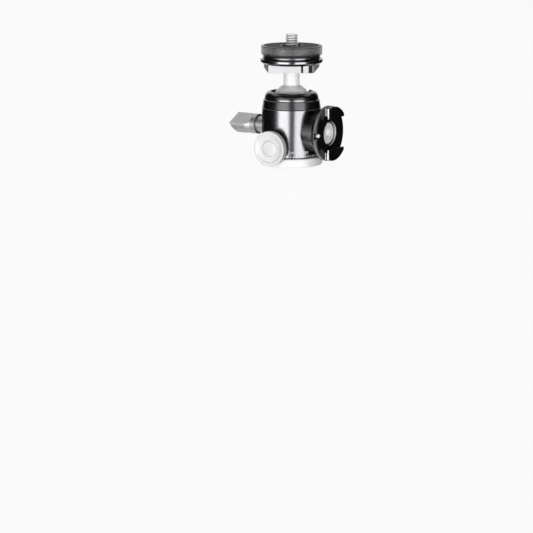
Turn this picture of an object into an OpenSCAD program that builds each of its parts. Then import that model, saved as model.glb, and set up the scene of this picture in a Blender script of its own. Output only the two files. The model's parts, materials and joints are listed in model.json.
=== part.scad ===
// Compact tripod ball head with a panning base, a drop notch and a side shoe.
// The origin is the centre of the underside and Z is up. The shoe faces +X,
// the lock handle -X, the pan knob -Y and the drop notch +Y.

/* [Base] */
// Reach of the base ring beyond the housing, on the radius
base_lip = 0.75; // [0.3:0.05:2]
// Height of the base ring
base_h = 4.4; // [4:0.1:6]
// Chamfer on the edges of the base ring
base_edge = 0.4; // [0.1:0.1:0.8]
// Nominal diameter of the large tripod thread
tripod_thread_d = 9.525; // [9:0.005:10]
// Nominal diameter of the small tripod thread in the adapter
adapter_thread_d = 6.35; // [5:0.01:7]
// Length of the thread adapter
adapter_l = 8; // [5:0.1:9]
// Width and depth of the driver slot across the adapter
adapter_slot = 1; // [0.6:0.1:1.4]
// Wall between the tripod thread and the heads of the base screws
base_screw_wall = 0.25; // [0.1:0.05:0.6]
// Thread diameter of the base screws
base_screw_d = 2.5; // [2:0.1:2.5]
// Head diameter of the base screws
base_screw_head_d = 4.2; // [3.6:0.1:4.4]
// Depth of the base screws' heads below the underside
base_screw_inset = 0.3; // [0.1:0.1:0.4]
// Length of the base screws
base_screw_l = 7.4; // [6:0.1:8]
// Size across flats of the sockets in the base screws
base_screw_socket = 1.5; // [1.2:0.1:1.8]
// Number of base screws
base_screw_count = 3; // [2:1:4]

/* [Panning drum] */
// Wall of the drum's hub outside the base screws
drum_hub_wall = 0.65; // [0.4:0.05:1]
// Reach of the drum's rim over the collar, on the radius
drum_rim_reach = 1.9; // [1.6:0.1:2.6]
// Room between the drum's rim and the housing
drum_room = 1.6; // [1.2:0.1:2]
// Height of the drum's rim
drum_rim_h = 4.6; // [4:0.1:6]
// Depth of the groove that the pan pad presses into
drum_groove_depth = 1.2; // [0.8:0.1:1.5]
// Height of the groove at its mouth
drum_groove_h = 3; // [2.4:0.1:3.6]
// Thickness of both friction washers
washer_t = 0.5; // [0.3:0.1:0.8]
// Height of the collar that holds the housing down
collar_h = 2.7; // [2:0.1:3.5]
// Width of the key slots in the collar
collar_slot_w = 2; // [1:0.1:3]
// Depth of the key slots in the collar
collar_slot_depth = 1; // [0.5:0.1:1.5]
// Gap between the base ring and the housing
pan_gap = 0.2; // [0.1:0.05:0.4]

/* [Housing] */
// Wall of the housing round the lower bore
housing_wall = 2.75; // [2.5:0.05:4]
// Width of the shelf in the housing above the lower bore
chamber_step = 0.9; // [0.7:0.1:1.2]
// Width of the rounded shoulder outside the ridge
shoulder_w = 2.6; // [2:0.1:2.6]
// Height of the rounded shoulder
shoulder_h = 3.7; // [3:0.1:3.7]
// Width of the step under the shoulder
step_w = 0.5; // [0.2:0.1:0.8]
// Distance from the ridge down to the step in the shoulder
step_drop = 3.9; // [3.8:0.1:4.4]
// Distance from the ridge down to the groove round the housing
groove_drop = 8.1; // [7.6:0.1:8.6]
// Depth and half height of the groove round the housing
groove_size = 0.25; // [0.1:0.05:0.4]
// Taper of the band between the groove and the step, on the radius
band_taper = 0.6; // [0.2:0.1:0.6]
// Edge break at the housing's foot and on its bosses
housing_edge = 0.3; // [0.1:0.1:0.6]
// Distance from the ridge down to the lip over the upper seat
lip_drop = 2.8; // [2.6:0.1:3]
// Cover of the mouth over the ball, on the radius
mouth_cover = 0.7; // [0.6:0.05:0.9]
// Height of the funnel above the ball's mouth
mouth_funnel_h = 1.75; // [1.5:0.05:2]
// Play of the stem in the drop notch, on each side
notch_play = 0.5; // [0.3:0.1:0.9]
// Diameter of the boss behind the pan knob
pan_boss_d = 13.6; // [11:0.1:18]
// Reach of the pan boss beyond the base ring
pan_boss_overhang = 3.1; // [0.4:0.1:4]
// Diameter of the boss behind the shoe
shoe_boss_d = 20.4; // [18:0.1:21]
// Reach of the shoe boss beyond the base ring
shoe_boss_overhang = 2; // [1:0.1:3]

/* [Chamber floor] */
// Gap between the drum and the chamber floor
floor_gap = 0.9; // [0.5:0.1:1.2]
// Thickness of the chamber floor
floor_t = 2; // [1.5:0.1:2.5]
// Diameter of the key holes in the chamber floor
floor_hole_d = 2; // [1:0.1:2.5]
// Distance of the key holes from the axis
floor_hole_r = 8; // [6:0.1:9]

/* [Ball] */
// Diameter of the ball
ball_d = 20.4; // [20:0.1:20.6]
// Diameter of the stem
stem_d = 8.2; // [7:0.1:8.4]
// Fillet between the stem and the ball
stem_fillet = 0.8; // [0.3:0.1:1]
// Length of the stem between the ball and the platform
stem_l = 7.3; // [7:0.1:10]
// Thread diameter at both ends of the stem
stem_thread_d = 6; // [5:0.1:6.4]
// Depth of the stem's thread in the ball
stem_thread_l = 6; // [4:0.1:7]
// Height of the stem's spigot in the platform
stem_spigot_l = 2.4; // [1.5:0.1:3]

/* [Seats] */
// Room for the upper seat round the ball, on the radius
seat_w = 1.4; // [1.2:0.1:2]
// Depth of the upper seat below the ball's centre
upper_seat_drop = 0.9; // [0.4:0.1:1.2]
// Thickness of the liner under the ball
liner_t = 0.8; // [0.6:0.1:0.9]
// Distance from the ball's centre down to the liner's edge
liner_drop = 6.8; // [6.6:0.1:7.4]
// Thickness of the piston between the wedge and the liner
piston_web = 0.8; // [0.6:0.1:1.2]
// Diameter of the hole in the liner
liner_hole_d = 6; // [4:0.1:8]
// Distance from the ball's centre down to the piston's edge
piston_drop = 6; // [5.6:0.1:6.6]
// Gap under the piston's skirt
piston_lift = 0.8; // [0.7:0.1:1]

/* [Ball lock] */
// Gap between the lock screw and the chamber floor
lock_screw_lift = 0.3; // [0.1:0.05:0.4]
// Thread diameter of the lock screw
lock_screw_d = 6; // [5:0.1:6]
// Diameter of the lock screw's tip
lock_tip_d = 4; // [3:0.1:4.6]
// Length of the lock screw's tip
lock_tip_l = 1.6; // [1:0.1:2]
// Width of the wedge under the piston
wedge_w = 9; // [8:0.1:9.4]
// Way that the wedge slides out in one turn of the handle
wedge_travel = 1; // [0.5:0.1:1]
// Gap between the drawn-out wedge and the chamber's wall
wedge_gap = 0.2; // [0.1:0.05:0.4]
// Length of the wedge
wedge_l = 17.5; // [14:0.1:18]
// Height of the wedge at the axis
wedge_h = 3.55; // [3.4:0.05:3.6]
// Rise of the wedge's ramp for each unit of its length
ramp_slope_share = 0.2; // [0.1:0.01:0.2]
// Coil diameter of the piston springs
spring_d = 3.2; // [2.6:0.1:3.4]
// Wire diameter of the piston springs
spring_wire_d = 0.45; // [0.35:0.05:0.45]
// Height of the piston springs
spring_h = 4; // [3.8:0.1:4.2]
// Curls in each piston spring
spring_curls = 3.5; // [3:0.5:3.5]

/* [Lock handle] */
// Diameter of the spot face under the handle
spot_face_d = 9.2; // [9:0.1:10]
// Depth of the spot face
spot_face_depth = 0.75; // [0.7:0.05:1]
// Thickness of the washer under the handle
lock_washer_t = 0.5; // [0.3:0.1:0.8]
// Diameter of the handle's neck
handle_neck_d = 8.2; // [7.6:0.1:9]
// Length of the handle's neck
handle_neck_l = 4.6; // [3:0.1:6]
// Diameter of the handle's collar
handle_collar_d = 10.4; // [9:0.1:12]
// Length of the handle's collar
handle_collar_l = 2.6; // [1.5:0.1:4]
// Length of the taper from the collar to the grip
grip_taper_l = 3.4; // [0.8:0.1:4.4]
// Diameter of the handle's grip
grip_d = 11.6; // [10:0.1:13]
// Length of the handle's grip
grip_l = 12.7; // [9:0.1:16]
// Thickness across the two flats of the grip
grip_flat = 5.6; // [4.6:0.1:8]
// Radius where the flats run out
grip_runout_r = 2.2; // [1:0.1:3]
// Edge break of the grip's end
grip_edge = 0.5; // [0.2:0.1:1]
// Angle that the grip's end leans back from square
grip_end_lean = 33; // [0:1:40]
// Turn of the flats about the handle's axis
grip_turn = -26; // [-90:1:90]
// Depth of the lock screw in the handle
lock_screw_hold = 9; // [6:0.1:12]

/* [Pan knob] */
// Diameter of the pan knob
knob_d = 17.6; // [15:0.1:18]
// Thickness of the pan knob
knob_t = 3; // [2.9:0.1:6]
// Gap between the pan boss and the knob
knob_gap = 0.3; // [0.3:0.05:0.6]
// Edge break of the pan knob
knob_edge = 0.4; // [0.1:0.1:0.8]
// Width of the flat rim on the knob's face
knob_rim_w = 1.5; // [0.8:0.1:2]
// Depth of the face inside the rim
knob_dish_depth = 0.5; // [0.2:0.1:1]
// Diameter of the cap in the knob's face
knob_cap_d = 8; // [7.6:0.1:12]
// Thickness of the cap
knob_cap_t = 1; // [0.8:0.1:1.1]
// Height of the cap's middle above the dish
knob_cap_rise = 0.25; // [0.1:0.05:0.5]
// Thread diameter of the pan screw
pan_screw_d = 5; // [4:0.1:5.2]
// Diameter of the pan screw's head, inside the knob
pan_screw_head_d = 7; // [6:0.1:7.4]
// Height of the pan screw's head
pan_screw_head_h = 0.9; // [0.6:0.1:1]
// Diameter of the washer under the pan knob
pan_washer_d = 9; // [7:0.1:10]
// Depth of the washer's pocket in the pan boss
pan_pocket_depth = 0.9; // [0.8:0.05:1.1]
// Diameter of the pan pad
pan_pad_d = 3.4; // [3:0.1:4]
// Length of the pan pad's straight part
pan_pad_l = 1.2; // [0.8:0.1:1.5]
// Diameter of the pan pad's tip
pan_pad_tip_d = 1; // [0.6:0.1:1.2]

/* [Platform] */
// Inset of the block from the flange's lower edge, on the radius
block_inset = 0.5; // [0.2:0.1:1.5]
// Height of the block
block_h = 4.05; // [3:0.05:5]
// Size across the block's flats
block_flat = 17; // [14:0.1:24]
// Size of the bevels under the block's round ends
block_bevel = 2.7; // [1:0.1:3]
// Turn of the platform about the stem
platform_turn = 28; // [0:1:90]
// Diameter of the flange
flange_d = 32; // [30:0.1:38]
// Width of the flange's upper slope
flange_upper_slope_w = 0.95; // [0.3:0.05:1.5]
// Width of the flange's lower slope
flange_lower_slope_w = 1.3; // [0.6:0.05:1.8]
// Height of the flange
flange_h = 2.85; // [2.6:0.05:4]
// Height of the flange's lower slope
flange_slope_h = 1.15; // [0.7:0.05:1.4]
// Height of the flange's crest
flange_crest_h = 1.2; // [0.3:0.1:1.5]
// Width of the slot in the block's flats
block_slot_w = 2; // [1:0.1:2.6]
// Depth of the slot in the block's flats
block_slot_depth = 0.9; // [0.3:0.1:1.5]
// Distance of the slot from the end of the flat
block_slot_inset = 0.3; // [0.2:0.1:1]
// Width of the groove beside the slot
block_groove_w = 1; // [0.4:0.1:1.6]
// Depth of the groove beside the slot
block_groove_depth = 0.4; // [0.1:0.1:0.8]
// Width of the panel between the slot and the groove
block_panel_w = 2.8; // [1:0.1:4]

/* [Camera screw] */
// Nominal diameter of the camera thread
stud_d = 6.35; // [6:0.01:6.6]
// Height of the stud above the lock disc
stud_rise = 5.8; // [4.5:0.1:8]
// Depth of the stud's neck inside the lock disc, on the radius
stud_neck_depth = 0.2; // [0.1:0.05:0.5]
// Width of the stud's flange
stud_flange_w = 1.4; // [0.8:0.1:1.6]
// Height of the stud's flange
stud_flange_h = 0.9; // [0.6:0.1:1.2]
// Thread diameter of the stud's lower end
stud_shank_d = 4; // [3:0.1:4.4]
// Length of the stud's lower end below the platform
stud_shank_l = 9.6; // [8:0.1:12]
// Chamfer at the stud's top
stud_edge = 0.6; // [0.2:0.1:1]

/* [Lock disc] */
// Gap between the platform and the lock disc
disc_gap = 0.25; // [0.1:0.05:0.5]
// Diameter of the lock disc
disc_d = 31.2; // [30:0.1:38]
// Thickness of the lock disc
disc_t = 6.2; // [5:0.1:8]
// Width of the slope between the disc's foot and its rim
disc_slope_w = 0.95; // [0.4:0.05:1.5]
// Height of the foot's straight part
disc_foot_h = 0.9; // [0.4:0.1:1.2]
// Height of the slope from the foot to the knurled rim
disc_slope_h = 1.2; // [1:0.1:2.4]
// Edge break above and below the knurled rim
disc_edge = 0.3; // [0.1:0.1:0.5]
// Clearance between the stud and the lock disc, on the radius
disc_bore_gap = 0.08; // [0.02:0.01:0.1]
// Width of the recess round the stud
disc_well_w = 2; // [1.6:0.1:2.4]
// Depth of the recess round the stud
disc_well_depth = 1.4; // [0.8:0.1:2]
// Width of the disc's rim outside the pad
disc_rim_w = 1.5; // [0.8:0.1:2.5]
// Width of the disc's inner rim, between the pad and the recess
disc_inner_rim_w = 0.8; // [0.4:0.1:1.5]
// Thickness of the pad
pad_t = 0.7; // [0.4:0.1:1]
// Height of the pad above the disc's rim
pad_rise = 0.1; // [0:0.05:0.3]

/* [Shoe] */
// Height of the shoe's axis above the housing's foot
shoe_rise = 12.65; // [12.4:0.05:13.2]
// Diameter of the shoe disc
shoe_d = 27.7; // [25:0.1:28]
// Thickness of the shoe disc
shoe_t = 2.2; // [1.8:0.1:3]
// Diameter of the hub behind the shoe disc
shoe_hub_d = 17.2; // [14:0.1:19]
// Length of the hub behind the shoe disc
shoe_hub_l = 2.7; // [2:0.1:3]
// Height of the jaws above the shoe's floor
jaw_h = 2.6; // [2:0.1:3.5]
// Width of the channel between the jaws
channel_w = 18.8; // [17:0.1:20]
// Width of the mouth between the jaws' lips
channel_mouth_w = 15.8; // [14:0.1:16.4]
// Height of the channel under the lips
channel_h = 1.3; // [1:0.1:1.6]
// Distance of the jaws' near ends from the shoe's axis
jaw_start = 4.7; // [3:0.1:7]
// Distance of the jaws' far ends from the shoe's axis
jaw_end = 9.9; // [8:0.1:12]
// Edge break of the shoe
shoe_edge = 0.3; // [0.1:0.1:0.5]
// Width of the well round the shoe screw's head
shoe_well_w = 0.85; // [0.5:0.05:1.2]
// Head diameter of the shoe screw
shoe_screw_head_d = 10.7; // [9:0.1:11.4]
// Head height of the shoe screw
shoe_screw_head_h = 2.5; // [2:0.1:3]
// Depth of the screw's head below the shoe's floor
shoe_screw_inset = 1; // [0.5:0.1:1.5]
// Thread diameter of the shoe screw
shoe_screw_d = 5; // [4:0.1:6]
// Length of the shoe screw's shank
shoe_screw_l = 5.8; // [4:0.1:6.4]
// Size across flats of the shoe screw's socket
shoe_socket = 5; // [3:0.1:5.6]
// Depth of the shoe screw's socket
shoe_socket_depth = 1.6; // [1:0.1:2]
// Diameter of the key pin
key_pin_d = 2.1; // [1.8:0.1:3]
// Distance of the key pin from the shoe's edge
key_pin_edge = 3.15; // [2.8:0.05:3.8]
// Gap between the key pin and the sides of its notch
key_notch_gap = 0.35; // [0.3:0.05:0.7]
// Depth of the notch in the shoe's floor
key_notch_depth = 1.4; // [0.8:0.1:1.6]
// Distance of the key pin's end below the shoe's floor
key_pin_inset = 0.1; // [0.1:0.1:0.8]
// Reach of the key pin behind the shoe disc
key_pin_tail = 0.8; // [0.3:0.1:1.5]

/* [Fits] */
// Gap between pieces that are fixed together
fit_gap = 0.05; // [0.02:0.01:0.08]
// Gap of sliding and turning fits, on the radius
slide_gap = 0.07; // [0.03:0.01:0.1]
// Gap round the ball and its liner, on the radius
ball_gap = 0.1; // [0.05:0.01:0.12]
// Gap between the ball and the housing, on the radius
mouth_gap = 0.25; // [0.2:0.01:0.3]

/* [Hidden] */
$fn = 96;
// How far every cut runs past the surface it opens
overrun = 1;
// Steps in a quarter of a turned curve
curve_steps = 12;
// Sides of the spring's wire, and rings in each of its curls
wire_sides = 6;
curl_rings = 8;

ball_r = ball_d / 2;
stem_r = stem_d / 2;
knob_r = knob_d / 2;
grip_r = grip_d / 2;
disc_r = disc_d / 2;
flange_r = flange_d / 2;
stud_r = stud_d / 2;
stud_neck_r = stud_r - stud_neck_depth;
shoe_r = shoe_d / 2;

// Radii of the base and the housing, from the inside out. The lower bore has
// room for the drum and for the chamber that takes the ball.
tripod_r = tripod_thread_d / 2;
base_screw_circle_r = tripod_r + base_screw_wall + base_screw_head_d / 2;
drum_hub_r = base_screw_circle_r + base_screw_d / 2 + drum_hub_wall;
lower_bore_r = max(drum_hub_r + drum_rim_reach + drum_room, ball_r + seat_w + chamber_step);
chamber_r = lower_bore_r - chamber_step;
collar_r = lower_bore_r - fit_gap;
drum_rim_r = lower_bore_r - drum_room;
housing_r = lower_bore_r + housing_wall;
base_r = housing_r + base_lip;
band_r = housing_r - groove_size;
shoulder_r = band_r - band_taper - step_w;
crest_r = shoulder_r - shoulder_w;
mouth_r = ball_r - mouth_cover;
notch_r = stem_r + notch_play;
pan_boss_reach = base_r + pan_boss_overhang;
shoe_boss_reach = base_r + shoe_boss_overhang;

// Radii of the nested spheres under the ball
liner_in_r = ball_r + ball_gap;
liner_out_r = liner_in_r + liner_t;
piston_seat_r = liner_out_r + ball_gap;

// Heights, from the underside up
collar_z = base_h + washer_t;
drum_rim_z = collar_z + collar_h + washer_t;
pan_z = drum_rim_z + drum_rim_h / 2;
drum_top_z = drum_rim_z + drum_rim_h;
floor_z = drum_top_z + floor_gap;
chamber_z = floor_z + floor_t;
lock_z = chamber_z + lock_screw_d / 2 + lock_screw_lift;
housing_z = base_h + pan_gap;
shoe_z = housing_z + shoe_rise;
wedge_top_z = chamber_z + wedge_h;
ball_z = wedge_top_z + fit_gap + piston_web + piston_seat_r;
mouth_z = ball_z + sqrt(pow(ball_r + mouth_gap, 2) - pow(mouth_r, 2));
rim_z = mouth_z + mouth_funnel_h;
groove_z = rim_z - groove_drop;
step_z = rim_z - step_drop;
lip_z = rim_z - lip_drop;
ball_flat_r = stem_r + stem_fillet;
stem_z = ball_z + sqrt(pow(ball_r, 2) - pow(ball_flat_r, 2));
platform_z = stem_z + stem_l;
flange_z = platform_z + block_h;
platform_top_z = flange_z + flange_h;
disc_z = platform_top_z + disc_gap;
disc_top_z = disc_z + disc_t;
stud_top_z = disc_top_z + stud_rise;

// The lock's pieces, measured outwards along -X
lock_washer_x = housing_r - spot_face_depth;
handle_x = lock_washer_x + lock_washer_t;
handle_collar_x = handle_x + handle_neck_l;
grip_x = handle_collar_x + handle_collar_l;
grip_end_x = grip_x + grip_l;

// The pan knob's pieces, measured outwards along -Y
knob_y = pan_boss_reach + knob_gap;
knob_face_y = knob_y + knob_t;
pan_washer_y = pan_boss_reach - pan_pocket_depth;
groove_floor_r = drum_rim_r - drum_groove_depth;
pan_tip_y = groove_floor_r + (pan_pad_tip_d + 4 * ball_gap) * drum_groove_depth / drum_groove_h;
pan_tip_l = (pan_pad_d - pan_pad_tip_d) / 2;
pan_screw_y = pan_tip_y + pan_tip_l + pan_pad_l + fit_gap;

// The platform, the stud and the lock disc
flange_foot_r = flange_r - flange_lower_slope_w;
block_r = flange_foot_r - block_inset;
stud_flange_r = stud_r + stud_flange_w;
disc_foot_r = disc_r - disc_slope_w;
disc_well_r = stud_r + disc_well_w;
pad_r = disc_r - disc_rim_w;
pad_bore_r = disc_well_r + disc_inner_rim_w;

// The shoe's pieces, measured outwards along +X
shoe_plate_x = shoe_boss_reach + shoe_hub_l;
shoe_floor_x = shoe_plate_x + shoe_t;
shoe_head_x = shoe_floor_x - shoe_screw_inset - shoe_screw_head_h;
key_pin_r = shoe_r - key_pin_edge;
key_notch_r = key_pin_d / 2 + key_notch_gap;

// The piston, the wedge and the springs in the chamber
piston_r = chamber_r - slide_gap;
piston_top_z = ball_z - piston_drop;
piston_foot_z = chamber_z + piston_lift;
wedge_reach = sqrt(pow(chamber_r, 2) - pow(wedge_w / 2, 2)) - wedge_travel - wedge_gap;
spring_r = (wedge_w / 2 + piston_r) / 2;

// A solid of revolution about Z from points given as [radius, height]
module turned(points) {
    rotate_extrude() polygon(points);
}

// A flat ring with its lower face at height z
module ring(z, outer_r, inner_r, height) {
    translate([0, 0, z]) difference() {
        cylinder(r = outer_r, h = height);
        translate([0, 0, -overrun]) cylinder(r = inner_r, h = height + 2 * overrun);
    }
}

// A cylinder between two heights
module rod(z0, z1, radius) {
    translate([0, 0, z0]) cylinder(r = radius, h = z1 - z0);
}

// Each of these turns a child's Z axis to point out of one side of the head
module towards_shoe() {
    translate([0, 0, shoe_z]) rotate([0, 90, 0]) children();
}

module towards_handle() {
    translate([0, 0, lock_z]) rotate([0, -90, 0]) children();
}

module towards_knob() {
    translate([0, 0, pan_z]) rotate([90, 0, 0]) children();
}

// A hexagonal socket that opens at height z and goes down from there
module socket(z, flats, depth) {
    translate([0, 0, z - depth]) cylinder(d = flats / cos(30), h = depth + overrun, $fn = 6);
}

// Base

module on_screw_circle() {
    for (i = [0:base_screw_count - 1]) rotate([0, 0, 360 * i / base_screw_count])
        translate([base_screw_circle_r, 0, 0]) children();
}

module base_plate() {
    head_h = (base_screw_head_d - base_screw_d) / 2;
    color("gainsboro") difference() {
        turned([
            [tripod_r, 0], [base_r - base_edge, 0], [base_r, base_edge], [base_r, base_h - base_edge],
            [base_r - base_edge, base_h], [tripod_r, base_h]
        ]);
        on_screw_circle() {
            rod(-overrun, base_h + overrun, base_screw_d / 2);
            rod(-overrun, base_screw_inset, base_screw_head_d / 2);
            translate([0, 0, base_screw_inset])
                cylinder(r1 = base_screw_head_d / 2, r2 = base_screw_d / 2, h = head_h);
        }
    }
}

module thread_adapter() {
    color("silver") difference() {
        ring(0, tripod_r - fit_gap, adapter_thread_d / 2, adapter_l);
        translate([-base_r, -adapter_slot / 2, -overrun])
            cube([2 * base_r, adapter_slot, adapter_slot + overrun]);
    }
}

module pan_drum() {
    mouth = drum_groove_h / 2;
    color("silver") difference() {
        turned([
            [0, base_h], [drum_hub_r, base_h], [drum_hub_r, drum_rim_z], [drum_rim_r, drum_rim_z],
            [drum_rim_r, pan_z - mouth], [groove_floor_r, pan_z], [drum_rim_r, pan_z + mouth],
            [drum_rim_r, drum_top_z], [0, drum_top_z]
        ]);
        rod(base_h - overrun, adapter_l + fit_gap, tripod_r);
        on_screw_circle() rod(base_h - overrun, base_screw_inset + base_screw_l + fit_gap, base_screw_d / 2);
    }
}

module base_screws() {
    head_r = base_screw_head_d / 2 - fit_gap;
    shank_r = base_screw_d / 2 - fit_gap;
    color("dimgray") on_screw_circle() difference() {
        union() {
            translate([0, 0, base_screw_inset]) cylinder(r1 = head_r, r2 = shank_r, h = head_r - shank_r);
            rod(base_screw_inset, base_screw_inset + base_screw_l, shank_r);
        }
        mirror([0, 0, 1]) socket(-base_screw_inset, base_screw_socket, base_screw_socket / 2);
    }
}

module pan_washer_lower() {
    color("ivory") ring(base_h, collar_r, drum_hub_r + slide_gap, washer_t);
}

module pan_washer_upper() {
    color("ivory") ring(collar_z + collar_h, drum_rim_r, drum_hub_r + slide_gap, washer_t);
}

// Housing

// The outside of the housing, with a band, a step and a rounded shoulder
module housing_shell() {
    arc = [
        for (i = [0:curve_steps]) let (a = 90 * i / curve_steps)
            [crest_r + shoulder_w * cos(a), rim_z - shoulder_h + shoulder_h * sin(a)]
    ];
    turned(concat(
        [
            [0, housing_z], [housing_r - housing_edge, housing_z], [housing_r, housing_z + housing_edge],
            [housing_r, groove_z - groove_size], [housing_r - 2 * groove_size, groove_z],
            [band_r, groove_z + groove_size], [band_r - band_taper, step_z - groove_size],
            [shoulder_r, step_z]
        ],
        arc, [[0, rim_z]]
    ));
}

module pan_boss() {
    intersection() {
        towards_knob() turned([
            [0, 0], [pan_boss_d / 2, 0], [pan_boss_d / 2, pan_boss_reach - housing_edge],
            [pan_boss_d / 2 - housing_edge, pan_boss_reach], [0, pan_boss_reach]
        ]);
        rod(housing_z, rim_z, pan_boss_reach + pan_boss_d);
    }
}

module shoe_boss() {
    towards_shoe() turned([
        [0, 0], [shoe_boss_d / 2, 0], [shoe_boss_d / 2, shoe_boss_reach - housing_edge],
        [shoe_boss_d / 2 - housing_edge, shoe_boss_reach], [0, shoe_boss_reach]
    ]);
}

// The drop notch: a slot with a round bottom that opens at +Y and at the top
module drop_notch() {
    translate([0, 0, ball_z]) rotate([-90, 0, 0]) cylinder(r = notch_r, h = 2 * housing_r);
    translate([-notch_r, 0, ball_z]) cube([2 * notch_r, 2 * housing_r, rim_z - ball_z + overrun]);
}

// The funnel from the ball out to the ridge round the mouth
module mouth_funnel() {
    crest_in_r = crest_r - groove_size;
    turned([
        [0, mouth_z], [mouth_r, mouth_z], [crest_in_r, rim_z], [crest_in_r, rim_z + overrun],
        [0, rim_z + overrun]
    ]);
}

module housing() {
    color([0.09, 0.09, 0.1]) difference() {
        union() {
            housing_shell();
            pan_boss();
            shoe_boss();
        }
        rod(housing_z - overrun, chamber_z, lower_bore_r);
        rod(chamber_z - overrun, lip_z, chamber_r);
        translate([0, 0, ball_z]) sphere(r = ball_r + mouth_gap);
        mouth_funnel();
        drop_notch();
        towards_handle() {
            cylinder(d = lock_screw_d, h = 2 * housing_r);
            rod(lock_washer_x, 2 * housing_r, spot_face_d / 2);
        }
        towards_knob() {
            cylinder(d = pan_screw_d, h = 2 * housing_r);
            rod(pan_washer_y, 2 * housing_r, pan_washer_d / 2 + slide_gap);
        }
        towards_shoe() rod(shoe_head_x - shoe_screw_l - fit_gap, 2 * housing_r, shoe_screw_d / 2);
    }
}

module pan_collar() {
    color("dimgray") difference() {
        ring(collar_z, collar_r, drum_hub_r + slide_gap, collar_h);
        for (side = [0, 180]) rotate([0, 0, side])
            translate([drum_hub_r, -collar_slot_w / 2, collar_z - overrun])
                cube([collar_r, collar_slot_w, collar_slot_depth + overrun]);
    }
}

module chamber_floor() {
    color("dimgray") difference() {
        rod(floor_z, chamber_z, collar_r);
        for (side = [-1, 1]) translate([0, side * floor_hole_r, 0])
            rod(floor_z - overrun, floor_z + floor_t / 2, floor_hole_d / 2);
    }
}

module upper_seat() {
    color("ivory") difference() {
        rod(ball_z - upper_seat_drop, lip_z - fit_gap, chamber_r - fit_gap);
        translate([0, 0, ball_z]) sphere(r = ball_r + ball_gap);
        drop_notch();
    }
}

// Shoe

// One jaw of the shoe, at local +X, with a lip over the channel
module shoe_jaw() {
    top = shoe_floor_x + jaw_h;
    lip_x = shoe_floor_x + channel_h;
    intersection() {
        turned([
            [0, shoe_plate_x], [shoe_r, shoe_plate_x], [shoe_r, top - shoe_edge], [shoe_r - shoe_edge, top],
            [0, top]
        ]);
        translate([0, -jaw_start, 0]) union() {
            translate([channel_w / 2, 0, shoe_plate_x + shoe_edge])
                cube([shoe_r, jaw_start + jaw_end, jaw_h + shoe_t]);
            translate([channel_mouth_w / 2, 0, lip_x]) cube([shoe_r, jaw_start + jaw_end, top - lip_x]);
        }
    }
}

// The notch at local -Y that the key pin stands in
module key_notch() {
    translate([0, -key_pin_r, shoe_floor_x - key_notch_depth]) {
        cylinder(r = key_notch_r, h = key_notch_depth + overrun);
        translate([-key_notch_r, -shoe_r, 0]) cube([2 * key_notch_r, shoe_r, key_notch_depth + overrun]);
    }
}

module shoe_disc() {
    color([0.12, 0.12, 0.13]) towards_shoe() difference() {
        union() {
            turned([
                [0, shoe_boss_reach], [shoe_hub_d / 2, shoe_boss_reach], [shoe_hub_d / 2, shoe_plate_x],
                [shoe_r - shoe_edge, shoe_plate_x], [shoe_r, shoe_plate_x + shoe_edge],
                [shoe_r, shoe_floor_x - shoe_edge], [shoe_r - shoe_edge, shoe_floor_x], [0, shoe_floor_x]
            ]);
            shoe_jaw();
            mirror([1, 0, 0]) shoe_jaw();
        }
        rod(shoe_boss_reach - overrun, shoe_floor_x, shoe_screw_d / 2 + fit_gap);
        rod(shoe_head_x, shoe_floor_x + overrun, shoe_screw_head_d / 2 + shoe_well_w);
        key_notch();
        translate([0, -key_pin_r, 0]) rod(shoe_plate_x - overrun, shoe_floor_x, key_pin_d / 2);
    }
}

module shoe_screw() {
    head_top = shoe_head_x + shoe_screw_head_h;
    head_r = shoe_screw_head_d / 2;
    shank_r = shoe_screw_d / 2 - fit_gap;
    color("silver") towards_shoe() difference() {
        turned([
            [0, shoe_head_x - shoe_screw_l], [shank_r, shoe_head_x - shoe_screw_l], [shank_r, shoe_head_x],
            [head_r, shoe_head_x], [head_r, head_top - shoe_edge], [head_r - shoe_edge, head_top],
            [0, head_top]
        ]);
        socket(head_top, shoe_socket, shoe_socket_depth);
    }
}

module shoe_key_pin() {
    end = shoe_floor_x - key_pin_inset;
    pin_r = key_pin_d / 2 - fit_gap;
    color("silver") towards_shoe() translate([0, -key_pin_r, 0]) turned([
        [0, shoe_plate_x - key_pin_tail], [pin_r, shoe_plate_x - key_pin_tail], [pin_r, end - shoe_edge],
        [pin_r - shoe_edge, end], [0, end]
    ]);
}

// Ball lock

// The side view of the wedge, or of the channel for it when grown by a gap
module wedge_outline(gap) {
    heel = wedge_reach + gap;
    toe = wedge_l - wedge_reach + gap;
    top = wedge_h + gap;
    polygon([
        [-heel, 0], [toe, 0], [toe, top - ramp_slope_share * toe], [-heel, top + ramp_slope_share * heel]
    ]);
}

module wedge() {
    color("darkgoldenrod") translate([0, wedge_w / 2, chamber_z]) rotate([90, 0, 0])
        linear_extrude(wedge_w) wedge_outline(0);
}

module piston() {
    channel_w = wedge_w + 2 * slide_gap;
    pocket_r = spring_d / 2 + 2 * slide_gap;
    screw_room = lock_screw_d / 2 + ball_gap;
    screw_x = wedge_reach - overrun;
    color("ivory") difference() {
        rod(piston_foot_z, piston_top_z, piston_r);
        translate([0, 0, ball_z]) sphere(r = piston_seat_r);
        // The channel opens at both ends and keeps the wedge's slope
        translate([0, channel_w / 2, chamber_z + fit_gap]) rotate([90, 0, 0]) linear_extrude(channel_w)
            polygon([
                [-housing_r, -overrun], [housing_r, -overrun],
                [housing_r, wedge_h - ramp_slope_share * housing_r],
                [-housing_r, wedge_h + ramp_slope_share * housing_r]
            ]);
        towards_handle() rod(screw_x, housing_r, screw_room);
        for (side = [-1, 1]) translate([0, side * spring_r, 0])
            rod(chamber_z, chamber_z + spring_h + 4 * fit_gap + ball_gap, pocket_r);
    }
}

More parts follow.
